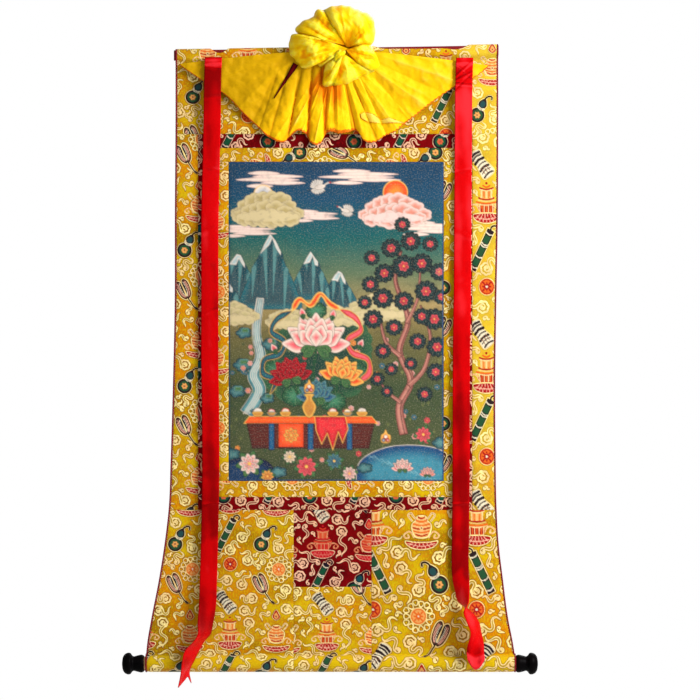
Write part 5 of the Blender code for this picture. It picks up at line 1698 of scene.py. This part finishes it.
# %% The rosette's lobes
ROSETTE_BACK, LOBE_GRID, PLEAT_FULLNESS, BELLY_FULLNESS = 7.6, 1.0, 0.66, 0.84
LOBE_CRUMPLES = ((0, 26.0, 2.1), (1, 9.0, 0.6))     # added to the seed, size of the facets, depth
LOBES = (
    # rim as x and z round from one side to the other; root x, z, height; rim's height; belly; where the
    # belly is fullest; how many random pleats and their depth; broad folds as share across from the
    # right-hand end, half width, rise, from and to share of the way out, lean; and the lobe's own
    # painted light, below 0 painted shade and above 0 painted light
    dict(rim=((-4, 22), (-10, 8), (-6, -8), (4, -16), (20, -16), (36, -10), (46, 0), (48, 12), (40, 22),
     (24, 26), (6, 26)), root=(24, 2, 13), rim_height=7, belly=4, full=0.5, pleats=9, depth=0.8, folds=(),
     lobe_lighting=-0.75),
    dict(rim=((-22, 52), (-17, 60.5), (-6, 66), (3, 67.6), (15.4, 66.4), (28.5, 63.1), (41, 57.4),
     (52.2, 51.6), (55.4, 44), (56, 31), (54.8, 17.5), (50, 10)), root=(16, 6, 15),
     rim_height=8, belly=27, full=0.60, pleats=12, depth=1.2, folds=((0.14, 0.05, 3.4, 0.2, 1.1, 0.02),
     (0.23, 0.03, -2.6, 0.15, 0.9, 0.03), (0.31, 0.06, 3, 0.3, 0.95, -0.04),
     (0.46, 0.05, -2.2, 0.1, 0.7, 0.05), (0.62, 0.09, 2.4, 0.3, 1, 0.03),
     (0.78, 0.03, -2.8, 0.1, 0.8, -0.03), (0.86, 0.05, 2.6, 0.1, 0.7, 0)), lobe_lighting=0.12),
    dict(rim=((-30, 17), (-44, 22), (-57, 28.4), (-56, 36), (-47, 44), (-34, 49), (-31.4, 56),
     (-25.4, 62.4), (-18, 60.6), (-9, 58)), root=(13, 9, 17), rim_height=8, belly=18, full=0.62, pleats=11,
     depth=1.6, folds=((0.14, 0.05, 3.2, 0.1, 1.1, 0.02), (0.30, 0.05, 3.6, 0.2, 1.1, -0.03),
     (0.41, 0.03, -3.2, 0.1, 1, 0), (0.55, 0.06, 4, 0.2, 1.1, 0.03), (0.70, 0.035, -3.2, 0.2, 1, 0),
     (0.84, 0.06, 3.4, 0.2, 1.1, -0.02)), lobe_lighting=0),
    dict(rim=((48, 16), (52, 8.6), (57.6, -4.5), (62, -14.6), (61.4, -23.5), (55, -27.5), (38, -30)),
     root=(14, 2, 19), rim_height=8, belly=17, full=0.58, pleats=6, depth=1.1, folds=((0.25, 0.08, 3, 0.2,
     1.1, 0.05), (0.42, 0.04, -2.8, 0.1, 1, 0.05), (0.64, 0.08, 3.4, 0.2, 1.1, -0.04)), lobe_lighting=-0.1),
    dict(rim=((-38, 22.6), (-50, 26.4), (-61, 26.4), (-66.6, 22), (-67.4, 15), (-66.8, 6), (-65, -2),
     (-58, -12.2), (-49, -21.6), (-42, -24.4), (-34, -20.4), (-29, -17), (-22.4, -21.6), (-15, -15),
     (-9, -8)), root=(17, 4, 21), rim_height=9, belly=18, full=0.58, pleats=22, depth=1.5, folds=((0.12,
     0.05, 3.4, 0.2, 1.1, 0), (0.20, 0.025, -3, 0.2, 1, 0.02), (0.34, 0.06, 2.6, 0.3, 1.1, -0.03),
     (0.47, 0.03, -2.6, 0.2, 1, 0.02), (0.60, 0.06, 3, 0.3, 1.1, 0.03), (0.72, 0.03, -2.8, 0.3, 1, 0),
     (0.86, 0.06, 2.8, 0.2, 1.1, -0.02)), lobe_lighting=0.1),
    dict(rim=((57.4, -26.6), (48, -31.6), (38, -36), (27.5, -40.4), (16.4, -46), (6, -48.4), (-6, -48),
     (-8, -40), (-6, -22)), root=(8, -2, 20), rim_height=10, belly=12, full=0.55, pleats=5, depth=1,
     folds=((0.10, 0.04, 3, 0.3, 1.1, 0), (0.22, 0.05, -2.8, 0.2, 1, 0.02),
     (0.42, 0.09, 4.2, 0.2, 1.1, 0.04), (0.62, 0.04, -2.4, 0.2, 1, 0), (0.80, 0.07, 3, 0.2, 1.1, 0)),
     lobe_lighting=0.3),
    dict(rim=((0, -32), (-2, -47), (-8, -49), (-17.4, -49), (-18, -40), (-17.4, -28), (-16, -12), (-12, 0)),
     root=(12, 3.4, 23), rim_height=13, belly=12, full=0.5, pleats=4, depth=0.9, folds=((0.28, 0.08, 3.2,
     0.1, 1.1, 0), (0.46, 0.04, -3, 0.1, 1.1, 0), (0.68, 0.08, 3.6, 0.1, 1.1, 0)), lobe_lighting=0.25),
    dict(rim=((13, 4), (14, -3), (9, -11), (3, -18), (-4, -18), (-7, -12), (-4, -5), (3, 1), (8, 5)),
     root=(8, -2, 31), rim_height=23, belly=7, full=0.5, pleats=3, depth=0.6, folds=((0.4, 0.1, 1.6, 0.1,
     1.1, 0), (0.62, 0.06, -1.6, 0.1, 1.1, 0)), lobe_lighting=0.35),
)


def rim_path(rim, columns):
    """Points along a rim at even distances."""
    path = curve(rim, steps=12)
    along = np.concatenate([[0], np.cumsum(np.linalg.norm(np.diff(path, axis=0), axis=1))])
    at = np.linspace(0, along[-1], columns)
    return np.stack([np.interp(at, along, path[:, k]) for k in (0, 1)], 1), along[-1]


def random_pleats(count, depth, seed):
    """Rows like a lobe's broad folds: pleats at uneven places, which start at the pinch and run out."""
    chance = np.random.default_rng(seed)
    places = (np.arange(count) + 0.5 + chance.uniform(-0.32, 0.32, count)) / count
    return [
        (at, chance.uniform(0.16, 0.34) / count, depth * chance.uniform(0.5, 1.3), -0.1,
         chance.choice([0.45, 0.7, 1.15]), chance.uniform(-0.25, 0.25) / count)
        for at in places
    ]


def make_lobe(name, rim, root, rim_height, belly, full, pleats, depth, folds, lobe_lighting):
    """One puff. The height at a share v of the way out is the blend from root to rim, plus the belly
    times sin(pi v ^ k) ^ 0.8 with k set so that it is fullest at the given share, plus its folds, each
    rise * exp(-|aside / half width| ^ 1.3) between two shares, plus the facets of crushed silk."""
    start = np.array(root[:2], float)
    arms = np.array(rim, float) - start
    seed = len(rim) * 7 + int(belly)
    if (arms[:-1, 0] * arms[1:, 1] - arms[:-1, 1] * arms[1:, 0]).sum() < 0:
        rim = rim[::-1]         # counterclockwise, so that the faces look forward
        folds = tuple((1 - row[0], *row[1:5], -row[5]) for row in folds)
    _, length = rim_path(rim, 20)
    columns = whole_steps(length, LOBE_GRID)
    edge, _ = rim_path(rim, columns)
    rows = whole_steps(np.linalg.norm(edge - start, axis=1).mean(), LOBE_GRID)
    v, u = np.linspace(0.02, 1, rows)[:, None], np.linspace(0, 1, columns)[None, :]
    across = edge[None, :, :] - start
    swing = (0.022 * np.sin(v * 5 + seed) + 0.02 * np.sin(u * 9 + v * 7 + seed)) * np.sin(math.pi * u) * v
    ruffle = np.sin(u * length / 3.1 + seed) * np.sin(u * length / 8.3 + 2 * seed) * v**4
    out = (v * (1 + 0.016 * ruffle))[..., None]
    at = start + out * across + swing[..., None] * np.stack([-across[..., 1], across[..., 0]], -1)
    swell = np.sin(math.pi * v ** (math.log(0.5) / math.log(full))) ** 0.8
    sides = np.clip(1 - np.abs(2 * u - 1) ** 5, 0, 1) ** 0.6
    detail = 0.0
    for place, half, rise, near, far, lean in (*folds, *random_pleats(pleats, depth, seed)):
        away = np.abs(u - place - lean * (v - near) - 0.004 * np.sin(9 * v + 40 * place)) / half
        lasts = smooth_step(near, near + 0.3, v) * smooth_step(far, far - 0.35, v)
        detail = detail + rise * lasts * np.exp(-(away**1.3))
    detail = PLEAT_FULLNESS * detail * (0.35 + 0.65 * v**0.5) * (1 - 0.3 * v**6)
    for more, size, deep in LOBE_CRUMPLES:
        detail = detail + crushed(at[..., 0], at[..., 1], seed + more, size) * deep * swell
    detail = detail + 0.9 * ruffle
    puffed = BELLY_FULLNESS * belly * swell * (0.25 + 0.75 * sides)
    height = root[2] + (rim_height - root[2]) * v + puffed + detail
    roll = np.clip(1 - v**20, 0, 1) ** 0.5 * (0.35 + 0.65 * sides) + (1 - sides) * 0.2
    height = 2.0 + (height - 2.0) * np.clip(roll + 0.12, 0, 1)
    front = np.stack([at[..., 0], -(ROSETTE_BACK + height), at[..., 1]], -1)
    behind = 0.4 + 4.6 * smooth_step(14, 34, at[..., 1]) * np.sin(math.pi * np.clip(v, 0, 1)) * sides
    # painted light and shade: painted shade at the pinch and on the flanks of folds, a painted highlight at
    # the rim and on pleat crests, each lobe's own painted light, and the whole rosette a little lighter
    pinch_shade = smooth_step(0.40, 0.04, v) * 0.8
    rim_highlight = 0.5 * smooth_step(0.86, 0.99, v)
    flank = 1 - np.abs(surface_normals(front)[..., 1])
    shade_to_highlight = np.clip((detail - detail.mean()) / 2.2 - pinch_shade + rim_highlight + lobe_lighting + 0.28 - 0.6 * flank, -1, 1)
    marks = {"shade_to_highlight": shade_to_highlight, "hem": (1 - v) * np.linalg.norm(across, axis=-1) + 2.0}
    return make_sheet(name, front, (height + behind)[..., None], u * length, v * 60, marks, straight=True)


def join_pieces(pieces, name):
    """Joins pieces into the first, under a new name."""
    with bpy.context.temp_override(active_object=pieces[0], selected_editable_objects=pieces):
        bpy.ops.object.join()
    pieces[0].name = pieces[0].data.name = name
    return pieces[0]


rosette = join_pieces([make_lobe(f"lobe_{k}", **row) for k, row in enumerate(LOBES)], "veil_rosette")
for piece, finish, size in ((veil_cloth, yellow_silk, (620, 190)), (rosette, lit_silk, (420, 180))):
    finish_piece(piece, finish, "yellow_silk", "veil")
    declare_sheet(piece, size)

# %% [markdown]
# ## Tape and ribbons
# A maroon tape shows in the slit beside the fan. The two satin ribbons hang from the top and hold the
# veil when it is gathered up. Each follows its table down: where its middle is, how far it stands off
# the mount and how far it has turned about its length, so that it can twist over at the skirt. The
# first few centimetres are folded over and tucked, which leaves a roll and slanting creases.

# %% Tape and ribbons
TIE_TAPE = (
    (-57.5, -17, 8.4), (-63, -26, 7.2), (-70.5, -37.5, 4.8), (-79.5, -51, 2.8), (-89, -66, 1.4),
)  # x, z, width
TAPE_WIDTH, TAPE_LENGTH, TAPE_CLOTH, TAPE_STAND, TAPE_BOW = 10.0, 58.5, 1.0, 1.3, 0.5
RIBBON_WIDTH, RIBBON_CLOTH, RIBBON_CURL, RIBBON_GRID = 24.7, 1.2, 0.8, 1.5
RIBBON_LEFT = (
    # height, x, stand, turn in degrees, painted tone from -1, painted shade, to 1, painted light
    (-7, -175.6, 13.2, 0, -0.6), (-11, -175.8, 13.9, 0, 0.9), (-19, -176.2, 14.4, 0, 0.5),
    (-25, -176.4, 14.1, 1, -0.5), (-45, -177, 13.2, 2, -0.55), (-66, -177.4, 12, 2, -0.3),
    (-96, -177.8, 9.4, 0, 0), (-150, -179.2, 5.4, -2, 0.1), (-240, -181.2, 4.8, 2, 0.15),
    (-340, -181.2, 5.2, -2, 0.05), (-430, -181.4, 5, 3, 0.1), (-520, -180.2, 4.6, -2, -0.2),
    (-600, -180, 5.6, 2, -0.5), (-690, -181.4, 6.4, -2, -0.4), (-750, -183, 8, 0, 0.2),
    (-795, -184.6, 12.5, 8, -0.4), (-821, -187.6, 17, 34, -0.5), (-835, -189, 19.6, 48, -0.2),
    (-845, -196.4, 20.4, 55, 0.1), (-856, -205, 21, 40, 0.1), (-873, -211.4, 21.6, 50, -0.3),
    (-889, -215.8, 21.2, 62, 0.1), (-905, -216.6, 20, 42, 0.3),
)
RIBBON_RIGHT = (
    (-8, 184.6, 13.2, 0, 0.1), (-15, 184.2, 14.4, 0, 0.5), (-28, 183.8, 14, 0, -0.4),
    (-46, 183.4, 13.4, -2, 0), (-56, 183.2, 12.4, -2, 0.6), (-96, 183, 9.4, 2, 0.6),
    (-150, 182.6, 5.4, 0, 0.4), (-240, 182, 4.8, -2, 0.45), (-340, 181.4, 5.2, 2, 0.3),
    (-430, 180.2, 5, -2, -0.1), (-520, 179.8, 4.6, 2, -0.4), (-600, 179.6, 5.6, -2, -0.5),
    (-690, 178.8, 6.4, 3, -0.6), (-745, 178.6, 9, -6, -0.5), (-772, 181, 13.5, -36, 0.2),
    (-791, 183.6, 18, -62, 0.5), (-800, 187.4, 20.2, -108, 0.4), (-815, 195.6, 22, -132, 0.3),
    (-834, 200.6, 22.6, -127, 0), (-846, 200.4, 23, -150, -0.2), (-857, 199.6, 24, -180, -0.2),
    (-868, 199.6, 26, -186, 0.6), (-878, 200.4, 30, -190, 0.9),
)
RIBBON_ENDS = {
    # share across from -0.5 to 0.5, how far the cut end drops there
    "ribbon_left": ((-0.5, 5), (0, -5.4), (0.24, -9.5), (0.38, -4), (0.5, 0)),
    "ribbon_right": ((-0.5, -9), (-0.3, 0), (-0.05, 5.5), (0.1, 6), (0.35, -1), (0.5, -9)),
}
CREASES = {
    # height, slope, half width and depth of a crease across
    "ribbon_left": (
        (-16, 0.05, 2.2, 1.2), (-21, -0.1, 1.2, -0.8), (-64, 0.1, 3, 0.4), (-166, -0.25, 2.2, -0.7),
        (-255, 0.3, 5, 0.7), (-300, -0.2, 6, -0.6), (-372, 0.35, 2.4, 0.5), (-470, -0.15, 7, 0.6),
        (-600, 0.2, 6, -0.5), (-648, 0.1, 2, -0.6), (-700, 0.5, 9, 0.9), (-760, -0.3, 9, 1),
        (-775, -0.6, 8, 0.9),
    ),
    "ribbon_right": (
        (-15, 0.05, 2, 1), (-24, 0.9, 1.5, 1.3), (-29, -0.7, 1.4, -1), (-35, 0.5, 1.3, 1.2),
        (-41, 1, 1.4, -1), (-46.5, -0.1, 1.1, 1.5), (-170, 0.2, 2.2, -0.6), (-262, -0.3, 5, 0.7),
        (-330, 0.25, 6, -0.6), (-480, -0.1, 7, 0.5), (-648, 0.06, 1.4, -0.8), (-700, -0.4, 8, 0.8),
        (-740, 0.8, 7, 0.9), (-864, 0.3, 4, 1.4), (-872, -0.5, 3, -1),
    ),
}


def make_ribbon(name, table):
    """A ribbon's skin. Across it curls a little forward in the middle, and creases add troughs and
    ridges, depth * exp(-(away / half width) ^ 2). Its last rows are drawn to the shape of its cut end."""
    rows = whole_steps(table[0][0] - table[-1][0], RIBBON_GRID)
    columns = whole_steps(RIBBON_WIDTH, RIBBON_GRID)
    height = np.linspace(table[0][0], table[-1][0], rows)[:, None]
    x, stand, turn, shade = (smooth_table(table, height, k) for k in (1, 2, 3, 4))
    share = np.linspace(-0.5, 0.5, columns)[None, :]
    side, turn = share * RIBBON_WIDTH, np.radians(turn)
    lift = RIBBON_CURL * (1 - (2 * share) ** 2)
    lift = lift + 0.12 * np.sin(height / 6.1 + share * 4) * np.sin(height / 17)
    lift = lift + 0.7 * np.sin(height / 33 + 2.2 * share) * np.sin(height / 71 + 1.0)
    for at, slope, half, depth in CREASES[name]:
        lift = lift + depth * np.exp(-(((height - at - slope * side) / half) ** 2))
    down = (height - table[0][0]) / (table[-1][0] - table[0][0])
    drop = smooth_table(RIBBON_ENDS[name], share) * smooth_step(0.965, 1.0, down)
    front = np.stack([
        x + side * np.cos(turn) + lift * np.sin(turn),
        -stand + side * np.sin(turn) - lift * np.cos(turn),
        height - drop,
    ], -1)
    front = front + surface_normals(front) * RIBBON_CLOTH / 2
    # glow is painted light and shade: lighter where the ribbon tilts one way across a crease and darker where
    # it tilts the other, the table's painted tone, and soft slanting bands of painted sheen
    steep = np.gradient(lift, axis=0) / np.gradient(height, axis=0)
    glow = np.clip(1.6 * steep + shade + 0.16 * np.cos(math.pi * share * 2.4 + height / 60), -1, 1)
    piece = make_sheet(name + "_satin", front, RIBBON_CLOTH, side, -height, {"shade_to_highlight": glow})
    finish_piece(piece, red_satin, "red_satin", name)
    run = np.linalg.norm(np.diff(front[:, columns // 2], axis=0), axis=1).sum()
    declare_sheet(piece, (RIBBON_WIDTH, run))


def make_tie_tape():
    """The tape's skin: it lies on the veil's own surface, a little bowed."""
    table = np.array(TIE_TAPE)
    t = np.linspace(0, 1, whole_steps(TAPE_LENGTH, 1.0))
    x, z, width = (np.interp(t, np.linspace(0, 1, len(table)), table[:, k]) for k in range(3))
    run = unit(np.gradient(np.stack([x, z], 1), axis=0))
    share = np.linspace(-0.5, 0.5, 9)[None, :]
    px = x[:, None] - run[:, 1:] * width[:, None] * share
    pz = z[:, None] + run[:, :1] * width[:, None] * share
    dx, dz = VEIL_POLE_X - px, VEIL_POLE_Z - pz
    stand = veil_height(np.degrees(np.arctan2(dz, dx)), np.hypot(dx, dz)) + VEIL_CLOTH / 2
    front = np.stack([px, -stand - TAPE_STAND - TAPE_BOW * (1 - 4 * share**2), pz], -1)
    # painted shade towards both edges of the bowed tape
    marks = {"shade_to_highlight": -4 * share**2}
    piece = make_sheet("tie_tape_cloth", front, TAPE_CLOTH, px - x[:, None], t[:, None] * TAPE_LENGTH, marks)
    finish_piece(piece, maroon_cloth, "maroon_cloth", "tie_tape")
    declare_sheet(piece, (TAPE_WIDTH, TAPE_LENGTH))


make_ribbon("ribbon_left", RIBBON_LEFT)
make_ribbon("ribbon_right", RIBBON_RIGHT)
make_tie_tape()

# %% [markdown]
# ## Batten, piping, roller and knobs
# The batten and the roller are plain shapes, so the solids stay and only get finishes. The knobs are
# turned work with a soft shine, so they are made again with more sides, from the same profile: each
# ring of points is a circle of the profile's radius round the roller's axis. The piping is a cord in a
# bias-cut covering, carried down the mount's edge and round the sleeve.

# %% Knobs and plain finishes
CORD_RADIUS, CORD_SIDES, CORD_GRID = 1.15, 12, 1.1
KNOB_SIDES, KNOB_RINGS = 96, 64
KNOB_PROFILE = (
    # out from the roller's end, radius
    (0, 11.2), (0.8, 11.8), (9, 11.8), (12, 11), (14.5, 10.4), (17, 11.8), (19.2, 14.8), (21.6, 15.6),
    (25.4, 14.8), (28.8, 12), (30.8, 7.4), (31.5, 2.8),
)


def plain_finish(name, light, dark, scale, stretch, rough, raised, **constants):
    """A material of two near colours in stretched clouds, with a fine raised grain."""
    material, tree, shader = new_finish(name, Roughness=rough, **constants)
    place = node(tree, "TexCoord").outputs["Object"]
    grain, fine = cloudy(tree, place, scale, 3.0, stretch), cloudy(tree, place, scale * 6, 3.0, stretch)
    shown = coats(tree, dark, (grain, 0.3, 0.7, 0, 1, light))
    wire(tree, shader, fine, raised, 0.6, Base_Color=shown)
    return material


black_lacquer = plain_finish(
    "black_lacquer", tone(9, 6, 7), tone(5, 4, 5), 60.0, (0.3, 1, 1), 0.40, 0.00010,
    Specular_IOR_Level=0.045, IOR=1.25,
)
bare_wood = plain_finish(
    "bare_wood", tone(190, 146, 98), tone(150, 106, 64), 90.0, (0.08, 1, 1), 0.6, 0.00015,
    Specular_IOR_Level=0.3,
)
batten_cloth = plain_finish(
    "batten_cloth", tone(140, 14, 28), tone(96, 8, 16), 900.0, (1, 1, 0.3), 0.7, 0.0002,
    Specular_IOR_Level=0.15,
)


def make_knob(name, end, side):
    """A turned knob: side is -1 at the left end and 1 at the right."""
    at = np.linspace(0, KNOB_PROFILE[-1][0], KNOB_RINGS)
    radius = smooth_table(KNOB_PROFILE, at)[:, None]
    angle = np.linspace(0, 2 * math.pi, KNOB_SIDES, endpoint=False)[None, :]
    x = end + side * (SEAM_GAP + at)
    rings = [x[:, None] + 0 * angle, radius * np.cos(angle), ROLLER_HEIGHT + radius * np.sin(angle)]
    ends = [[x[0], 0, ROLLER_HEIGHT], [x[-1], 0, ROLLER_HEIGHT]]
    knob = tube_mesh(name + "_turned", np.stack(rings, -1), ends, side < 0)
    finish_piece(knob, black_lacquer, "black_lacquer", name)


def make_piping(name, edge, side):
    """A bias-covered cord beside the mount's outer edge. Round each place of its path runs a circle
    whose radius has small ridges, which wind round the cord as its covering does."""
    along = np.linspace(1.5, SECTION_END - 6, whole_steps(SECTION_END, CORD_GRID, 1))
    centre = on_mount(along, edge(edge_heights(along)) + side * PIPING_RADIUS)
    run = unit(np.gradient(centre, axis=0))
    out = unit(np.cross(run, (1.0, 0.0, 0.0)))
    aside = np.cross(out, run)
    angle = np.linspace(0, 2 * math.pi, CORD_SIDES, endpoint=False)[None, :, None]
    radius = CORD_RADIUS * (1 + 0.08 * np.sin(angle + along[:, None, None] * 1.9))
    rings = centre[:, None] + radius * (np.cos(angle) * aside[:, None] + np.sin(angle) * out[:, None])
    finish_piece(tube_mesh(name + "_cord", rings, centre[[0, -1]]), batten_cloth, "maroon_cloth", name)


def refinish(name, finish):
    """Gives a CAD solid that stays a better material."""
    solid = bpy.data.objects[name]
    for k in range(len(solid.material_slots)):
        solid.material_slots[k].material = finish


make_knob("knob_left", ROLLER_LEFT, -1)
make_knob("knob_right", ROLLER_RIGHT, 1)
refinish("bottom_roller", bare_wood)
refinish("top_batten", batten_cloth)
make_piping("edge_piping_left", outer_left, 1)
make_piping("edge_piping_right", outer_right, -1)
print("knobs turned; piping covered; roller and batten finished")
